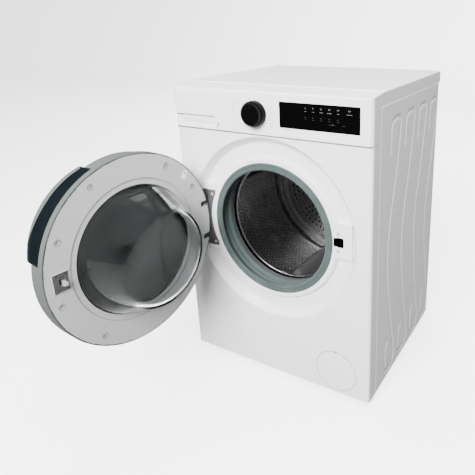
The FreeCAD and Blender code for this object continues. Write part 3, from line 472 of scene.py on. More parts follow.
def distance_to_line(y, z, line):
    """Distance of many points to a line of points."""
    best = np.full(y.shape, 1.0)
    for (y0, z0), (y1, z1) in zip(line[:-1], line[1:]):
        dy, dz = y1 - y0, z1 - z0
        t = np.clip(((y - y0) * dy + (z - z0) * dz) / (dy * dy + dz * dz), 0, 1)
        best = np.minimum(best, np.hypot(y - y0 - t * dy, z - z0 - t * dz))
    return best


def grid_faces(rows, columns, closed=False):
    """Quads between rows of vertices; a closed grid also joins its last column to its first."""
    faces = []
    for row in range(rows - 1):
        here, there = row * columns, (row + 1) * columns
        for i in range(columns if closed else columns - 1):
            j = (i + 1) % columns
            faces.append((here + i, here + j, there + j, there + i))
    return faces


def solid(thing, thickness, offset=-1.0):
    """Gives a sheet its thickness."""
    wall = thing.modifiers.new("thickness", "SOLIDIFY")
    wall.thickness = thickness
    wall.offset = offset
    return thing


def side_panel(name, side):
    """A side with four beads pressed inwards, its foot and front flanges, and the spring's shelf."""
    start, end = FRONT + 46 * MM, BACK
    low, high = SIDE_LOW.z, SIDE_HIGH.z
    step = 2.6 * MM
    ys = np.linspace(start, end, int((end - start) / step))
    zs = np.linspace(low, high, int((high - low) / step))
    y, z = np.meshgrid(ys, zs)
    dent = np.zeros_like(y)
    path = smooth_line(BEAD_LINE, 2) * MM + np.array([FRONT, 0])
    for k in range(4):
        moved = path + np.array([BEAD_PITCH * k, 0])
        dent = np.maximum(dent, np.exp(-(distance_to_line(y, z, moved) / BEAD_WIDTH) ** 2))
        for end_y, end_z in (moved[0], moved[-1]):
            dent = np.maximum(dent, 1.2 * np.exp(-(np.hypot(y - end_y, z - end_z) / BEAD_DIMPLE) ** 2))
    x = side * (HALF - BEAD_DEPTH * dent)
    sheet = Shape().add(zip(x.ravel(), y.ravel(), z.ravel()), grid_faces(len(zs), len(ys)))
    skin = sheet.piece(name, "cabinet", "painted_steel", smooth=60)
    faces_out = skin.data.polygons[0].normal.x * side > 0
    solid(skin, SHEET, -1.0 if faces_out else 1.0)
    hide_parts(name.replace("_skin", ""))
    flanges = Shape()
    spring = middle("suspension_springs")[1]
    # how far inside the side's face each one ends and starts, in millimetres, then its Y and Z limits
    for far, near, y0, y1, z0, z1 in (
            (16, 1.194, start, start + SHEET, low + 26 * MM, high),
            (20, 1.2, start, end, low, low + SHEET),
            (54, 1.2, spring - 10 * MM, spring + 10 * MM, 0.726, 0.729)):
        x0, x1 = sorted((side * (HALF - far * MM), side * (HALF - near * MM)))
        flanges.block((x0, y0, z0), (x1, y1, z1))
    flanges.piece(name.replace("skin", "flanges"), "cabinet", "galvanised_steel")


def back_details():
    """Pressed ribs on the rear panel, and the screws round its edge."""
    ribs = Shape()
    foot = BACK - 0.1 * MM
    for radius in (0.125, 0.165, 0.205):
        rib = mm_points((-6, 0), (-3, 2.4), (3, 2.4), (6, 0), base=(radius, 0))
        ribs.lathe(rib, shift(0, BACK, PORT_Z), 120, closed=False)
    for side in (-1, 1):
        centre = (side * 0.258, 0.42)
        ribs.extrude(rounded_outline(14, 520, 7, centre), foot, BACK + 1.2 * MM)
        ribs.extrude(rounded_outline(9, 515, 4.5, centre), BACK + 1.1 * MM, BACK + 2.4 * MM)
    for row in range(6):
        ribs.extrude(rounded_outline(110, 5, 2.5, (0.02, 0.735 - row * 11 * MM)), foot, BACK + 2 * MM)
    ribs.piece("rear_ribs", "cabinet", "galvanised_steel")
    screws = Shape()
    places = [(side * 0.287, z) for side in (-1, 1) for z in (0.03, 0.22, 0.41, 0.60, 0.79)]
    for x, z in places + [(-0.1, 0.80), (0.1, 0.80)]:
        screw_head(screws, shift(x, BACK, z) @ FACE_OUT, 3.9 * MM)
    screws.piece("rear_screws", "cabinet", "bright_steel")


def cross(arm, half, turn):
    """The outline of a plus sign as (x, z) points."""
    plus = [(half, arm), (-half, arm), (-half, half), (-arm, half), (-arm, -half), (-half, -half),
        (-half, -arm), (half, -arm), (half, -half), (arm, -half), (arm, half), (half, half)]
    return [(x * cos(turn) - z * sin(turn), x * sin(turn) + z * cos(turn)) for x, z in plus]


def screw_head(shape, at, radius, turn=0.35):
    """A low pan head with a cross recess, its face towards -Y and its seat in the plane y = 0."""
    face, deep, steps = -0.5 * radius, 0.34 * radius, 24
    form = bmesh.new()

    def circle(scale, depth):
        angles = [TAU * k / steps for k in range(steps)]
        return [form.verts.new((scale * radius * cos(a), depth, scale * radius * sin(a))) for a in angles]

    def join(first, second):
        for k in range(len(first)):
            j = (k + 1) % len(first)
            form.faces.new((first[k], first[j], second[j], second[k]))

    rim = circle(0.82, face)
    outline = cross(radius * 0.58, radius * 0.15, turn)
    recess = [form.verts.new((x, face, z)) for x, z in outline]
    edges = [form.edges.new((ring[k], ring[(k + 1) % len(ring)]))
        for ring in (rim, recess) for k in range(len(ring))]
    bmesh.ops.triangle_fill(form, edges=edges, use_beauty=True)
    recess_foot = [form.verts.new((0.8 * x, face + deep, 0.8 * z)) for x, z in outline]
    join(recess, recess_foot)
    form.faces.new(recess_foot)
    for scale, depth in ((0.95, face + 0.09 * radius), (1.0, face + 0.22 * radius), (1.0, 0.0)):
        ring = circle(scale, depth)
        join(rim, ring)
        rim = ring
    shape.take(form, at)


def cross_shade_fill(shape, at, radius, turn=0.35):
    """A dark plus in the foot of a screw's cross recess: painted shade."""
    shape.extrude(cross(radius * 0.5, radius * 0.14, turn), -0.36 * radius, -0.22 * radius, at)


# ---- console

DRAWER_LOW, DRAWER_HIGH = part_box("drawer_front")
CONSOLE_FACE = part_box("console")[0].y
KNOB_X, _, KNOB_Z = middle("selector_knob")
DISPLAY_LOW, DISPLAY_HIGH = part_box("display_window")
DRAWER_LIP = 0.7625
CONSOLE_TOP = 0.833
# how far a printed mark stands out of its face
PRINT = 0.12 * MM


def eased(t):
    """A smooth step from 0 to 1."""
    t = np.clip(t, 0, 1)
    return t * t * (3 - 2 * t)


def drawer_fascia():
    """The drawer's front, wrapped round the corner, with a scooped finger grip along its foot."""
    radius = 11.5 * MM
    left, right = DRAWER_LOW.x, DRAWER_HIGH.x
    face, deep = CONSOLE_FACE, FRONT + 20 * MM
    path = [(left, y, -1, 0) for y in np.linspace(deep, face + radius, 6)]
    for k in range(1, 9):
        a = radians(90 * k / 9)
        path.append((left + radius - radius * cos(a), face + radius - radius * sin(a), -cos(a), -sin(a)))
    path += [(x, face, 0, -1) for x in np.linspace(left + radius, right, 120)]
    low, high, lip = DRAWER_LOW.z, CONSOLE_TOP, DRAWER_LIP
    zs = np.concatenate([np.linspace(low, lip - 0.4 * MM, 30), np.linspace(lip, lip + 3 * MM, 6),
        np.linspace(lip + 5 * MM, high, 24)])
    verts = []
    for z in zs:
        for x, y, nx, ny in path:
            slant = -0.1545 + (lip - z) * 0.62
            side = eased((x - (left + 2 * MM)) / (6 * MM)) * eased((slant - x) / (5 * MM))
            below = eased((lip + 0.2 * MM - z) / (1.1 * MM))
            slope = np.clip((z - low) / (lip - low), 0, 1) ** 1.2
            scoop = 8.5 * MM * side * below * slope + 0.5 * MM * side * below
            wrap = 0.9 * MM * eased((z - high + 2.5 * MM) / (2.5 * MM)) ** 2
            push = scoop + wrap
            verts.append((x - nx * push, y - ny * push, z))
    sheet = Shape().add(verts, grid_faces(len(zs), len(path)))
    skin = sheet.piece("drawer_fascia", "drawer", "white_plastic", smooth=50)
    flat = skin.data.polygons[len(skin.data.polygons) // 2 + 80]
    solid(skin, 2.2 * MM, -1.0 if flat.normal.y < 0 else 1.0)
    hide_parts("drawer_front")
    tray_low, tray_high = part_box("drawer_tray")
    link = Shape().block((tray_low.x + 1 * MM, face + 2 * MM, tray_low.z + 1 * MM),
        (tray_high.x - 1 * MM, FRONT + 3.4 * MM, tray_high.z - 6 * MM), bevel=0.6 * MM)
    link.piece("drawer_link", "drawer", "white_plastic")


def console_lines():
    """Shadow gaps: under the drawer's grip edge, beside the drawer, and between console and front panel."""
    face, lip = CONSOLE_FACE, DRAWER_LIP
    grip_line = Shape()
    grip_line.block((-0.2935, face + 1.2 * MM, lip - 2.2 * MM), (-0.1585, face + 4 * MM, lip - 0.2 * MM))
    slant = shift(-0.1445, face + 1.6 * MM, lip - 17 * MM) @ turned(32)
    grip_line.block(mm(-0.5, -1.4, -18), mm(0.5, 1.4, 17), slant)
    grip_line.piece("drawer_grip_shadow", "drawer", "gap", "white_plastic")
    seams = Shape()
    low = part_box("console")[0].z
    side = HALF - 3 * MM
    seams.block((-side, FRONT - 2.2 * MM, low - 3.2 * MM), (side, FRONT + 1 * MM, low - 0.15 * MM))
    seams.block((DRAWER_HIGH.x - 0.1 * MM, face - 0.06 * MM, low + 1 * MM),
        (DRAWER_HIGH.x + 0.8 * MM, face + 2 * MM, CONSOLE_TOP - 1 * MM))
    seams.piece("console_shadow_gap", "cabinet", "gap", "white_plastic")
    low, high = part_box("filter_flap")
    x, reach = (low.x + high.x) / 2, (high.x - low.x) / 2
    outline = rounded_outline(13, 2.4, 1.1, (x, high.z + 0.2 * MM))
    notch = Shape().extrude(outline, FRONT - 0.25 * MM, FRONT + 1 * MM)
    notch.piece("hatch_notch", "cabinet", "black_rubber", "black_gloss")
    # a dark ring laid in the hatch's gap: painted shade
    gap = mm_points((0.1, -0.1), (0.9, -0.1), (0.9, 0.5), (0.1, 0.5), base=(reach, 0))
    ring = Shape().lathe(gap, shift(x, FRONT, high.z - reach))
    ring.piece("hatch_gap", "cabinet", "gap", "white_plastic")


class Print(Shape):
    """Flat marks on one face; their sizes are in millimetres."""

    def __init__(self, face):
        super().__init__()
        self.low, self.high = face - PRINT, face + PRINT

    def mark(self, outline):
        self.extrude(outline, self.low, self.high)

    def bar(self, width, height, radius, centre):
        self.mark(rounded_outline(width, height, radius, centre))

    def ring(self, centre, radius, width, start=0, sweep=360):
        """A ring, or an arc of it."""
        radius, width = mm(radius, width)
        steps = max(6, int(abs(sweep) / 12))
        verts = []
        for k in range(steps + 1):
            a = radians(start + sweep * k / steps)
            for r in (radius - width / 2, radius + width / 2):
                for y in (self.low, self.high):
                    verts.append((centre[0] + r * cos(a), y, centre[1] + r * sin(a)))
        faces = [(4 * k + a, 4 * k + b, 4 * k + 4 + b, 4 * k + 4 + a)
                 for k in range(steps) for a, b in ((0, 2), (2, 3), (3, 1), (1, 0))]
        faces += [(0, 1, 3, 2), (4 * steps, 4 * steps + 2, 4 * steps + 3, 4 * steps + 1)]
        self.add(verts, faces)


def legends():
    """Programme marks beside the knob: rows of plain dots and dashes that spell nothing."""
    marks = Print(CONSOLE_FACE)
    draw = random.Random(4)
    rows = 8
    for row in range(rows):
        z = KNOB_Z + (rows / 2 - 0.5 - row) * 8.4 * MM
        for side, edge in ((-1, -0.088), (1, 0.016)):
            length = draw.uniform(13, 20)
            long = length * MM
            if side < 0:
                marks.ring((edge, z), 0.9, 0.35)
                marks.bar(length, 0.9, 0.4, (edge + 3.5 * MM + long / 2, z))
            else:
                marks.bar(length, 0.9, 0.4, (edge + long / 2, z))
                marks.bar(length * 0.6, 0.7, 0.3, (edge + long * 0.3, z - 2.4 * MM))
    for z in (KNOB_Z + 39 * MM, KNOB_Z - 39 * MM):
        marks.bar(0.9, 2.6, 0.4, (KNOB_X, z))
    marks.piece("console_legend", "cabinet", "ink", "white_plastic")


def display_marks():
    """Generic signs on the glass: six outlines with a bar under each, a dim row and one bright dot."""

    def at(u, v):
        """A place on the glass, from its left and top edges."""
        return (DISPLAY_LOW.x + u * (DISPLAY_HIGH.x - DISPLAY_LOW.x),
            DISPLAY_HIGH.z - v * (DISPLAY_HIGH.z - DISPLAY_LOW.z))

    bright = Print(DISPLAY_LOW.y)
    line = 0.5
    columns = (0.345, 0.44, 0.54, 0.64, 0.745, 0.875)
    for k, u in enumerate(columns):
        x, z = at(u, 0.17)
        if k == 0:
            bright.mark(mm_points((-1, -1.8), (1, -1.8), (0, 2.2), base=(x, z)))
        elif k == 1:
            bright.ring((x, z), 1.7, line, 30, 300)
        elif k == 2:
            bright.ring((x, z), 1.9, line)
        elif k == 3:
            for step in (-1.3, 1.3):
                bright.ring((x + step * MM, z), 1.3, line)
        elif k == 4:
            bright.ring((x, z + 0.8 * MM), 2.2, line, 180, 180)
            bright.bar(5, line, 0.2, (x, z + 1 * MM))
        else:
            for step in (-1.8, 1.8):
                bright.bar(1.3, 3.2, 0.4, (x + step * MM, z))
        bright.bar((5, 6.5, 9.5, 11.5, 6, 14)[k], 0.75, 0.3, at(u, 0.30))
    bright.bar(1.9, 1.9, 0.94, at(0.675, 0.71))
    bright.piece("display_signs", "cabinet", "glow", "black_gloss")
    dim = Print(DISPLAY_LOW.y)
    for k, u in enumerate(columns[:5]):
        dim.bar(2.6, 2.6, 0.8, at(u - 0.005, 0.52))
        dim.bar(5 + k, 0.8, 0.35, at(u, 0.60))
    for u, width in ((0.645, 8), (0.70, 5), (0.81, 7)):
        dim.bar(width, 0.8, 0.35, at(u, 0.72))
    dim.piece("display_dim_signs", "cabinet", "dim_glow", "black_gloss")


def knob():
    """The programme knob: a dished face, a dark chrome ring and fine flutes down its side."""
    at = shift(KNOB_X, FRONT, KNOB_Z)
    body = Shape()
    dish = mm_points((0.01, -27.6), (14, -27.75), (25, -28.3), (26.6, -28.8), (27.4, -28.6))
    body.lathe(dish, at, closed=False)
    fluted = mm_points((31.4, -25), (32.8, -23.4), (33.3, -21.5), (33.8, -6.4), (33.6, -5.4),
        (31, -5.3), (30.8, -20))

    def flute(angle, radius, depth):
        cut = 0.18 * MM * (1 + cos(60 * angle)) / 2 if radius > 33.2 * MM else 0
        return radius - cut, depth

    body.lathe(fluted, at, 360, closed=False, wave=flute)
    body.lathe(mm_points((5, -26), (5, 8), (0.01, 8)), at, 32, closed=False)
    cap = body.piece("knob_body", "knob", "knob_black")
    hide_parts("selector_knob")
    ring = Shape().lathe(mm_points((27.3, -28.65), (28.2, -28.5), (30.6, -26.2), (31.5, -24.9),
        (30.9, -24.2), (27.2, -27.6)), at)
    ring.piece("knob_ring", "knob", "dark_chrome", "knob_black")
    outline = rounded_outline(1.4, 6, 0.6, (KNOB_X, KNOB_Z + 20 * MM))
    pointer = Shape().extrude(outline, FRONT - 28.35 * MM, FRONT - 27.7 * MM)
    pointer.piece("knob_pointer", "knob", "dark_chrome", "knob_black")


# ---- porthole

def follow_fold(thing):
    """Bakes the placement of a piece of the seal into its mesh."""
    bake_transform(thing)


def seal():
    """The grey rubber bellows: a lip with two beads on the panel's flange, a deep fold and an inner lip."""
    front_side = [(188, 9.6), (188.1, 8), (187, 6.7), (184.6, 6), (181.4, 5.9), (179.4, 6.5),
        (178.6, 7.5), (177.6, 6.6), (175.4, 6), (171.2, 6.1), (168.8, 7.2), (167.6, 9.4), (168, 11.8),
        (170.2, 13.4), (175, 14.6), (180, 17.4), (183.2, 21.6), (184.8, 27), (184.9, 33),
        (183.6, 37.4), (181.2, 39), (180, 40.8), (181, 42.8), (182.2, 45), (182.4, 49),
        (180.8, 52), (178.2, 53.6), (176, 54.6), (174.6, 56.4), (174.2, 59), (174.6, 61.4)]
    back_side = [(180.2, 61.7), (180.3, 69.6), (184.4, 69.6), (184.4, 60), (185.6, 50), (188.2, 40),
        (188.9, 28), (186.8, 20), (183.6, 14.8), (186.8, 14.4), (186.9, 11.6), (182.7, 11.5),
        (182.7, 9.7)]
    points = mm_points(*front_side, *back_side)

    def settle(angle, radius, depth):
        """The deep fold sags a little between the drain holes at the bottom."""
        if 14 * MM < depth < 50 * MM:
            return radius + 0.35 * MM * sin(6 * angle), depth
        return radius, depth

    rubber_ring = Shape().lathe(points, TO_PORT, 200, wave=settle)
    ring = rubber_ring.piece("seal_bellows", None, "seal_rubber", smooth=60)
    follow_fold(ring)
    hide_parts("door_seal")
    nozzle = Shape()
    at = TO_PORT @ turned(-14)
    nozzle.block(mm(-7, 30, 171), mm(7, 44, 186), at, 2.5 * MM)
    nozzle.block(mm(-4.5, 36, 164), mm(4.5, 50, 173), at, 2 * MM)
    follow_fold(nozzle.piece("seal_spray_nozzle", None, "grey_plastic", "seal_rubber"))
    drains = Shape()
    for step in (-8, 0, 8):
        spot = TO_PORT @ turned(180 + step)
        spot = spot @ shift(*mm(0, 28, 185)) @ turned(90, "X")
        drains.lathe(mm_points((3.4, -0.4), (4.4, 0), (3.4, 0.4), (2.6, 0)), spot, 20)
    follow_fold(drains.piece("seal_drain_eyelets", None, "seal_rubber"))


def drum_wall():
    """The drum's wall: a hexagonal emboss with a hole in each dimple, and a rolled mouth in front."""
    low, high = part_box("drum_shell")
    radius = high.x - 1.3 * MM
    start, end = low.y, high.y
    around, fine = 114, 6
    columns = around * fine
    first, last = start + 22 * MM, end - 12 * MM
    row_pitch = 11.4 * MM
    rows = int((last - first) / row_pitch)
    count = rows * fine + 1
    angles = np.arange(columns) * TAU / columns
    ys = first + np.arange(count) * row_pitch / fine
    a, y = np.meshgrid(angles, ys)
    u = a / TAU * around
    v = (y - first) / row_pitch
    wave = (np.cos(TAU * u) * np.cos(pi * v) + np.cos(TAU * v)) / 2
    r = radius - 3.0 * MM * (1 - np.clip(wave, -1, 1)) / 2
    verts = list(zip((r * np.cos(a)).ravel(), y.ravel(), (r * np.sin(a) + PORT_Z).ravel()))
    faces = []
    for face in grid_faces(count, columns, closed=True):
        row, column = divmod(face[0], columns)
        uc = (column + 0.5) / fine
        vc = (row + 0.5) / fine
        across = abs(uc - round(uc)) * TAU * radius / around
        shifted = abs(uc - 0.5 - round(uc - 0.5)) * TAU * radius / around
        even = abs(vc - 2 * round(vc / 2)) * row_pitch
        odd = abs(vc - 1 - 2 * round((vc - 1) / 2)) * row_pitch
        if hypot(across, even) < 2.3 * MM or hypot(shifted, odd) < 2.3 * MM:
            continue
        faces.append(face)
    wall = Shape().add(verts, faces)
    shell = wall.piece("drum_perforated_wall", "drum", "stainless", smooth=60)
    solid(shell, 0.8 * MM, 0.0)
    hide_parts("drum_shell")
    bands = Shape()
    front_face = mm_points((2.6, 6.2), (0.6, 5), (0, 3), (0.8, 0.9), (3, 0), (10, 0.4), (14, 2.2),
        (40, 2.2), (44, 0.6), base=(172 * MM, start))
    front_face += mm_points((-7, 0.6), (-1.5, 4), (0, 9), (0, 14), (-1.6, 17), (-0.6, 22),
        base=(radius, start))
    bands.lathe(front_face, AXIS, 160, closed=False)
    rear = first + (count - 1) * row_pitch / fine
    rear_step = mm_points((-0.6, 0), (-1.8, 2.5), (-1.8, 5), (0, 7), base=(radius, rear))
    bands.lathe(rear_step + [(radius, end)], AXIS, 160, closed=False)
    edge = bands.piece("drum_rolled_bands", "drum", "stainless", smooth=50)
    solid(edge, 0.8 * MM, 0.0)


def drum_end():
    """The drum's back: pressed rings round a field of holes, and a raised middle."""
    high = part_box("drum_back")[1]
    plane = high.y - 1.4 * MM
    edge = high.x
    rings = Shape()
    rim = mm_points((0, 0), (-8, 0), (-10, -5), (-20, -5), (-24, -1), (-32, -1), (-36, -6), (-42, -6),
        (-46, -3), (-54, -3), base=(edge, plane))
    rim += mm_points((182, -3), (178, -4.6), (172, -4.6), base=(0, plane))
    rings.lathe(rim, AXIS, 160, closed=False)
    hub = mm_points((72, -4.6), (66, -4.6), (60, -6.6), (30, -6.6), (24, -5.2), (0.1, -5.2),
        base=(0, plane))
    rings.lathe(hub, AXIS, closed=False)
    field = plane - 4.6 * MM
    inner, outer, count = 0.072, 0.172, 6
    pitch = (outer - inner) / count
    side_steps, hole = 4, 3.7 * MM
    for ring in range(count):
        r0, r1 = inner + ring * pitch, inner + (ring + 1) * pitch
        mean = (r0 + r1) / 2
        number = int(TAU * mean / (16.5 * MM))
        for k in range(number):
            a0 = TAU * (k + 0.5 * (ring % 2)) / number
            a1 = a0 + TAU / number
            corners = [(r0, a0), (r0, a1), (r1, a1), (r1, a0)]
            border = []
            for (ra, aa), (rb, ab) in zip(corners, corners[1:] + corners[:1]):
                border += [(ra + (rb - ra) * t / side_steps, aa + (ab - aa) * t / side_steps)
                    for t in range(side_steps)]
            ac = (a0 + a1) / 2
            centre = Vector((mean * cos(ac), field, mean * sin(ac)))
            verts = []
            for r, a in border:
                point = Vector((r * cos(a), field, r * sin(a)))
                away = (point - centre).normalized()
                sunk = centre + Vector((0, 0.7 * MM, 0))
                verts += [point, centre + away * (hole + 1 * MM), sunk + away * hole]
            faces = []
            for i in range(len(border)):
                j = (i + 1) % len(border)
                faces += [(3 * i + n, 3 * j + n, 3 * j + n + 1, 3 * i + n + 1) for n in (0, 1)]
            rings.add(verts, faces, AXIS)
    back = rings.piece("drum_pressed_back", "drum", "stainless", smooth=40)
    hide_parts("drum_back")


def lifters():
    """Three rounded paddles inside the drum."""
    low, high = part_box("drum_lifters")
    start, end = low.y, high.y
    paddle = Shape()
    us, vs = np.linspace(-1, 1, 29), np.linspace(0, 1, 49)
    for k in range(3):
        turn = AXIS @ turned(120 * k)
        verts = []
        for v in vs:
            taper = float(eased(v / 0.12) * eased((1 - v) / 0.12)) ** 0.5
            for u in us:
                height = 51 * MM * taper * (1 - abs(u) ** 2.4) ** 1.3
                verts.append((u * (34 * MM), start + v * (end - start), -0.2360 + height))
        paddle.add(verts, grid_faces(len(vs), len(us)), turn)
    fins = paddle.piece("drum_paddles", "drum", "lifter_plastic", smooth=60)
    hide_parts("drum_lifters")


def latch_frame():
    """A black bezel round the latch hole, and four cross-head screws in the front panel, two of them beside
    it.
    """
    x, _, z = middle("door_lock")
    x -= 8.5 * MM
    face = FRONT + 12 * MM
    outer = rounded_outline(29, 26, 4, (x, z))
    inner = rounded_outline(22.5, 20, 2.5, (x, z))
    verts = []
    for ring, depth in ((outer, -0.05), (outer, -0.9), (inner, -0.9), (inner, 4)):
        verts += [(px, face + depth * MM, pz) for px, pz in ring]
    bezel = Shape().add(verts, grid_faces(4, len(outer), closed=True))
    bezel.piece("latch_bezel", "cabinet", "black_gloss")
    screws = Shape()
    for px, pz, seat in ((-0.199, PORT_Z + 72 * MM, 3.3), (-0.199, PORT_Z - 76 * MM, 3.3),
            (x, z + 24 * MM, 0.1), (x, z - 24 * MM, 0.1)):
        at = shift(px, face - seat * MM, pz)
        screw_head(screws, at, 4.2 * MM)
        screws.lathe(mm_points((2.1, 0), (2.1, 13), (0.01, 13)), at, 16, closed=False)
    heads = screws.piece("front_cross_screws", "cabinet", "bright_steel")
    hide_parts("front_screws")


# ---- door

ON_DOOR = SWING @ TO_PORT


def around_door(radius, degrees, depth=0.0):
    """A place on the open door, by its polar angle on the closed one: 0 is the free edge, 90 is up."""
    a = radians(degrees)
    return ON_DOOR @ shift(radius * cos(a), depth, radius * sin(a))


RING_FACE = 5 * MM
SCREW_CIRCLE = 0.222
SCREW_ANGLES = (26, 62, 120, 150, 210, 240, 305, 346)


def door_fixings():
    """Countersunk cups with cross-head screws, and a blind dimple."""
    cups, screws, crosses, dimple = Shape(), Shape(), Shape(), Shape()
    cup_profile = mm_points((8.6, 0.1), (8.2, -0.5), (7, -0.8), (6, -0.3), (4.7, 1.4), (4.6, 2.8),
        (4.75, 2.8), (5.2, 1))
    for angle in SCREW_ANGLES:
        at = around_door(SCREW_CIRCLE, angle, RING_FACE) @ FACE_OUT
        cups.lathe(cup_profile, at, 32)
        seat = at @ shift(0, 2.2 * MM, 0)
        screw_head(screws, seat, 4.1 * MM, angle)
        cross_shade_fill(crosses, seat, 4.1 * MM, angle)
        screws.lathe(mm_points((2.1, 3), (2.1, 22), (0.01, 22)), at, 16, closed=False)
    # black crosses as painted shade in the screws' cross recesses
    crosses.piece("door_screw_cross_shade", "door", "black_rubber", "bright_steel")
    # the cups are dark grey as painted shade in the screw pockets
    cups.piece("door_screw_cups", "door", "groove", "ring_grey")
    heads = screws.piece("door_cross_screws", "door", "bright_steel")
    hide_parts("door_screws")
    dimple.lathe(mm_points((7, 0.05), (6.2, -0.3), (5.2, -0.3), (3.6, -0.12), (0.01, -0.06)),
        around_door(0.212, -9, RING_FACE) @ FACE_OUT, 32, closed=False)
    dimple.piece("door_blind_dimple", "door", "ring_grey")


def arc_strip(shape, r0, r1, low, high, start, end):
    """A ring sector between two angles, on the closed door's axis."""
    steps = max(2, int(abs(end - start) / 3))
    section = [(r0, low), (r1, low), (r1, high), (r0, high)]
    swept(shape, [section] * (steps + 1), [start + (end - start) * k / steps for k in range(steps + 1)])


def door_lines():
    """The dark joint between the two rings, thicker where the snaps are, and the ring's own step lines."""
    gap = Shape()
    rim = 0.2442
    arc_strip(gap, rim - 0.35 * MM, rim + 0.35 * MM, 3 * MM, RING_FACE + 0.12 * MM, 0, 360)
    for start, end in ((-62, -50), (-44, -12), (6, 24), (44, 56), (66, 84), (92, 110), (196, 208),
            (236, 262), (282, 296)):
        arc_strip(gap, rim - 0.9 * MM, rim + 0.9 * MM, 3 * MM, RING_FACE + 0.18 * MM, start, end)
    gap.piece("door_snap_line", "door", "black_rubber", "ring_grey")
    tabs = Shape()
    for angle in (-56, -28, 12, 50, 75, 101, 202, 249, 289):
        at = around_door(rim - 1.6 * MM, angle, RING_FACE) @ turned(-angle)
        tabs.block(mm(-1.6, -0.6, -5), mm(1.0, 0.35, 5), at, 0.3 * MM)
    tabs.piece("door_snap_tabs", "door", "ring_grey")
    # dark lines where the ring steps: painted shade
    groove = Shape()
    arc_strip(groove, 0.1826, 0.1835, 3.2 * MM, RING_FACE + 0.05 * MM, 0, 360)
    at = around_door(0.216, 155, RING_FACE) @ turned(-155)
    groove.block(mm(-24, -0.3, -0.35), mm(24, 0.12, 0.35), at)
    groove.piece("door_ring_groove", "door", "groove", "ring_grey")
    at = around_door(0.226, 138, RING_FACE) @ turned(-128)
    label = Shape().block(mm(-12, -0.1, -8), mm(12, 0.16, 8), at)
    label.piece("door_blank_label", "door", "paper", "ring_grey")
    mark = Shape().block(mm(3, 0.1, -2.5), mm(7, 0.26, 2.5), at)
    mark.piece("door_label_mark", "door", "groove", "ring_grey")


def hook_details():
    """Dark pockets on the hook's plate, laid flat as painted shade where its holes are, and the lip round
    it.
    """
    pockets = Shape()
    rise = 4 * MM
    for x, z, w, h in ((0.1945, 17, 5, 5), (0.2165, 17, 5, 5), (0.1945, -17, 3.2, 3.2),
            (0.2045, 13, 11, 2.4)):
        outline = rounded_outline(w, h, 0.8, (x, rise + z * MM))
        pockets.extrude(outline, RING_FACE + 1.2 * MM, RING_FACE + 1.75 * MM, ON_DOOR)
    pockets.piece("hook_plate_hole_shade", "door", "black_rubber", "black_gloss")
    outer, inner = rounded_outline(40, 50, 3), rounded_outline(37, 47, 2)
    verts = []
    for ring, depth, scale in ((outer, 0.9, 1), (inner, 1.9, 1), (inner, 1.4, 0.97)):
        verts += [(0.207 + x * scale, RING_FACE + depth * MM, rise + z * scale) for x, z in ring]
    lip = Shape().add(verts, grid_faces(3, len(outer), closed=True), ON_DOOR)
    lip.piece("hook_plate_lip", "door", "ring_grey")


def bowl():
    """The pressed glass bowl: a thick flange, a round shoulder and a slanting flat along its top."""
    inner = [(0.1, 107.4), (80, 107.6), (100, 107), (110, 104.6), (116, 99.6), (121, 92), (129, 74),
        (139, 52), (148, 32), (154, 18), (158, 8), (161, 1), (162, -3.4)]
    outer = [(180.6, -3.4), (180.9, -1.5), (180.4, 0.3), (170, 0.4), (167, 1.6), (165.6, 5), (163, 14),
        (157, 30), (146, 55), (136, 77), (129, 93), (124, 103), (117, 109), (108, 111.6), (84, 111.9),
        (0.1, 111.9)]

    profile = mm_points(*smooth_line(inner, 2), *smooth_line(outer, 2))

    def flattened(angle, radius, depth):
        """Above, the bowl is cut by a plane that slants down into the drum."""
        rise = sin(angle)
        if rise < 0.5 or depth < 4 * MM:
            return radius, depth
        plane = 0.154 - 0.42 * (depth - 8 * MM)
        limit = plane / rise
        soft = 2.5 * MM
        lower = min(radius, limit)
        blend = max(0.0, soft - abs(radius - limit)) ** 2 / (4 * soft)
        return min(radius, lower - blend) if radius > limit - soft else radius, depth

    form = Shape().lathe(profile, ON_DOOR, 180, closed=False, wave=flattened)
    glass_bowl = form.piece("door_glass_bowl", "door", "glass_clear", smooth=60)
    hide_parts("door_glass")


def cover_mask():
    """The matt grey print on the inside of the dark cover, seen through the bowl."""
    disc = Shape().lathe(mm_points((0.1, -46.5), (119, -44.5), (178, -40), (206, -34.8)), ON_DOOR, 128,
        closed=False)
    mask = disc.piece("cover_inner_print", "door", "print", "cover_dark", smooth=60)
    solid(mask, 0.2 * MM, 0.0)


def flexible(name, start, end):
    """A baked copy of a soft part's CAD mesh in place of the hidden node; the ends it is given are not used.
    """
    cad = NODES[name]
    thing = new_object(name + "_soft", cad.data.copy())
    thing.matrix_world = cad.matrix_world.copy()
    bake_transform(thing)
    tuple(start)
    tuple(end)
    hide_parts(name)


def flexible_parts():
    """The springs and the bellows hang from above; the sump hose stands on the pump."""
    for name, margin, hangs in (("suspension_springs", 12, True), ("dispenser_bellows", 6, True),
            ("sump_hose", 6, False)):
        low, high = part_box(name)
        ends = [(0, 0, high.z - margin * MM), (0, 0, low.z + margin * MM)]
        start, end = ends if hangs else reversed(ends)
        flexible(name, start, end)


GRIP_OFFSET, GRIP_RADIUS = 56 * MM, 206 * MM
GRIP_MIDDLE, GRIP_REACH = 41.0, 29.0
DOOR_RADIUS = 247 * MM


def grip_edge(degrees):
    """How far the crescent reaches from the door's axis at a polar angle."""
    away = radians(degrees - GRIP_MIDDLE)
    reach = GRIP_OFFSET * cos(away) + sqrt(GRIP_RADIUS ** 2 - (GRIP_OFFSET * sin(away)) ** 2)
    blunt = float(eased((GRIP_REACH - abs(degrees - GRIP_MIDDLE)) / 1.6))
    return DOOR_RADIUS + (reach - DOOR_RADIUS) * blunt


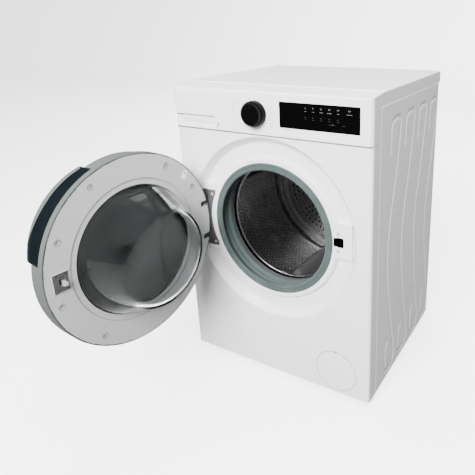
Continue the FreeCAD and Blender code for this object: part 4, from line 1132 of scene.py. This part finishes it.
def swept(shape, sections, angles):
    """Joins one closed section (radius, depth) per polar angle, with both ends capped."""
    count = len(sections[0])
    verts = [(r * cos(radians(a)), y, r * sin(radians(a)))
        for section, a in zip(sections, angles) for r, y in section]
    faces = grid_faces(len(angles), count, closed=True)
    total = len(verts)
    faces += [tuple(range(count)), tuple(range(total - 1, total - count - 1, -1))]
    shape.add(verts, faces, ON_DOOR)


def grip():
    """The crescent that the fingers reach behind, scooped on its inner side, and its bright edge."""
    angles = np.linspace(GRIP_MIDDLE - GRIP_REACH, GRIP_MIDDLE + GRIP_REACH, 75)
    inside = DOOR_RADIUS + 0.15 * MM
    foot = mm_points((236, -45.6), (228, -43.6), (219, -38), (222, -34), (240, -28), (246, -18))
    sections = []
    for a in angles:
        edge = grip_edge(a)
        wide = edge - inside
        scoop = [(inside, -11 * MM), (inside + 0.3 * wide, -18 * MM), (inside + 0.7 * wide, -26 * MM)]
        scoop += mm_points((-0.9, -29.6), (-0.4, -31), (-0.4, -42.8), (-2, -44.8), base=(edge, 0))
        sections.append(scoop + foot)
    lens = Shape()
    swept(lens, sections, angles)
    crescent = lens.piece("grip_crescent", "door", "cover_dark", smooth=40)
    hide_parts("door_grip")
    trim = Shape()
    span = np.linspace(GRIP_MIDDLE - GRIP_REACH + 9, GRIP_MIDDLE + GRIP_REACH - 0.5, 64)
    bands = []
    for a in span:
        edge = grip_edge(a)
        growth = float(eased((a - span[0]) / 24)) ** 0.5 * float(eased((span[-1] - a) / 3))
        depth = 14 * MM * growth + 0.3 * MM
        raised = mm_points((-0.5, -43.6), (0, -43.4), base=(edge, depth))
        bands.append(raised + mm_points((0, -43.2), (-0.6, -44.4), base=(edge, 0)))
    swept(trim, bands, span)
    trim.piece("grip_bright_edge", "door", "ring_silver")


def ring_skirt():
    """The silver ring's deep front edge; it thins to a flat band behind the grip and beside the hinge."""
    deep = [(246.4, -17.5), (247, -19.5), (247, -36), (246.2, -40), (243.6, -43.6), (239, -45.6),
        (234, -45.8), (228, -43.6), (218.5, -37.6), (220, -35.8), (232, -39), (240, -38), (243.5, -32),
        (244, -19)]
    band = [(236, -27.5), (236.5, -28.2), (237, -28.6), (236.8, -28.9), (236.4, -29.2), (235.8, -29.6),
        (233.5, -30.2), (228, -32.2), (218.5, -36.1), (220, -34.5), (230, -30.2), (234, -28.8),
        (235, -28.4), (235.4, -27.6)]
    points = mm_points(*deep)
    thin = dict(zip(points, mm_points(*band)))

    def fade(angle, radius, depth):
        polar = degrees(angle) % 360
        past_grip = abs((polar - GRIP_MIDDLE + 180) % 360 - 180) - GRIP_REACH + 2.6
        past_hinge = abs(polar - 180) - 44
        show = float(eased(past_grip / 2.4) * eased(past_hinge / 52))
        thin_radius, thin_depth = thin[radius, depth]
        return thin_radius + (radius - thin_radius) * show, thin_depth + (depth - thin_depth) * show

    ring = Shape().lathe(points, ON_DOOR, 288, wave=fade)
    ring.piece("door_ring_skirt", "door", "ring_silver", smooth=50)


side_panel("side_panel_left_skin", -1)
side_panel("side_panel_right_skin", 1)
for build in (back_details, drawer_fascia, console_lines, legends, display_marks, knob, seal, drum_wall,
              drum_end, lifters, latch_frame, door_fixings, door_lines, hook_details, bowl, cover_mask, grip,
              ring_skirt, flexible_parts):
    build()


# ---- floor, light and camera

def floor():
    """A pale floor that turns up into a backdrop, far behind."""
    reach, back, rise = 18.0, 6.0, 7.0
    bend = 1.5
    profile = [(-reach, 0.0), (back - bend, 0.0)]
    profile += [(back - bend + bend * sin(a), bend - bend * cos(a))
        for a in (radians(9 * k) for k in range(1, 11))]
    profile.append((back, rise))
    mesh = bpy.data.meshes.new("floor")
    verts = [(side * reach, y, z) for y, z in profile for side in (-1, 1)]
    faces = [(2 * i, 2 * i + 1, 2 * i + 3, 2 * i + 2) for i in range(len(profile) - 1)]
    mesh.from_pydata(verts, [], faces)
    mesh.shade_smooth()
    ground = new_object("floor", mesh)
    finish = Finish("studio_floor", Emission_Color=(1, 1, 1, 1), Emission_Strength=2.2)
    finish.colour(finish.noise(0.8, 3), 0.86, 0.90)
    finish.rough(finish.noise(4, 4), 0.6, 0.75)
    mesh.materials.append(finish.material)
    ground.visible_diffuse = False
    ground.visible_glossy = False


def lamp(name, size, power, at, aim):
    """A soft rectangular light that looks at a point and is not mirrored in glossy surfaces."""
    data = bpy.data.lights.new(name, "AREA")
    data.shape = "RECTANGLE"
    data.size, data.size_y = size
    data.energy = power
    thing = new_object(name, data)
    thing.location = at
    thing.rotation_euler = (Vector(aim) - Vector(at)).to_track_quat("-Z", "Y").to_euler()
    thing.visible_glossy = False
    thing.visible_transmission = False
    return thing


def metal_light():
    """A soft light that only the bare metal of the drum and the hinge sees."""
    glow = lamp("metal", (0.9, 0.9), 85, (-0.55, -1.9, 1.7), (0.08, 0.1, 0.38))
    glow.visible_glossy = True
    shiny = bpy.data.collections.new("bare_metal")
    names = ("drum_perforated_wall", "drum_rolled_bands", "drum_pressed_back", "front_cross_screws",
        "hinge_bracket")
    for thing in bpy.context.scene.objects:
        if thing.name in names:
            shiny.objects.link(thing)
    glow.light_linking.receiver_collection = shiny


def lights():
    lamp("key", (2.2, 1.8), 560, (0.45, -3.0, 2.5), (0, 0, 0.45))
    metal_light()
    lamp("top", (2.6, 2.6), 140, (0.1, 0.4, 3.3), (0, 0, 0.4))
    lamp("backdrop", (7.0, 1.5), 700, (0, 2.4, 4.2), (0, 5.0, 1.0))
    world = bpy.data.worlds.new("studio")
    world.use_nodes = True
    sky = world.node_tree.nodes["Background"]
    sky.inputs["Color"].default_value = (0.97, 0.98, 1.0, 1)
    sky.inputs["Strength"].default_value = 0.36
    bpy.context.scene.world = world


def camera():
    """Above the right front corner, rolled a little, with the object up and left of the lens axis."""
    azimuth, elevation, roll = (radians(a) for a in (30.107, 17.809, -1.319))
    back = Vector((sin(azimuth) * cos(elevation), -cos(azimuth) * cos(elevation), sin(elevation)))
    right = (-back).cross(Vector((0, 0, 1))).normalized()
    up = right.cross(-back)
    turned_right = cos(roll) * right + sin(roll) * up
    turned_up = cos(roll) * up - sin(roll) * right
    data = bpy.data.cameras.new("camera")
    data.lens = 36 * 1.0531
    data.shift_x, data.shift_y = -0.15, -0.13
    data.clip_start, data.clip_end = 0.05, 50
    data.dof.use_dof = False
    view = new_object("camera", data)
    place = Matrix((turned_right, turned_up, back)).transposed().to_4x4()
    place.translation = Vector((0.721, -1.0232 + FRONT, 1.015))
    view.matrix_world = place
    bpy.context.scene.camera = view


floor()
lights()
camera()
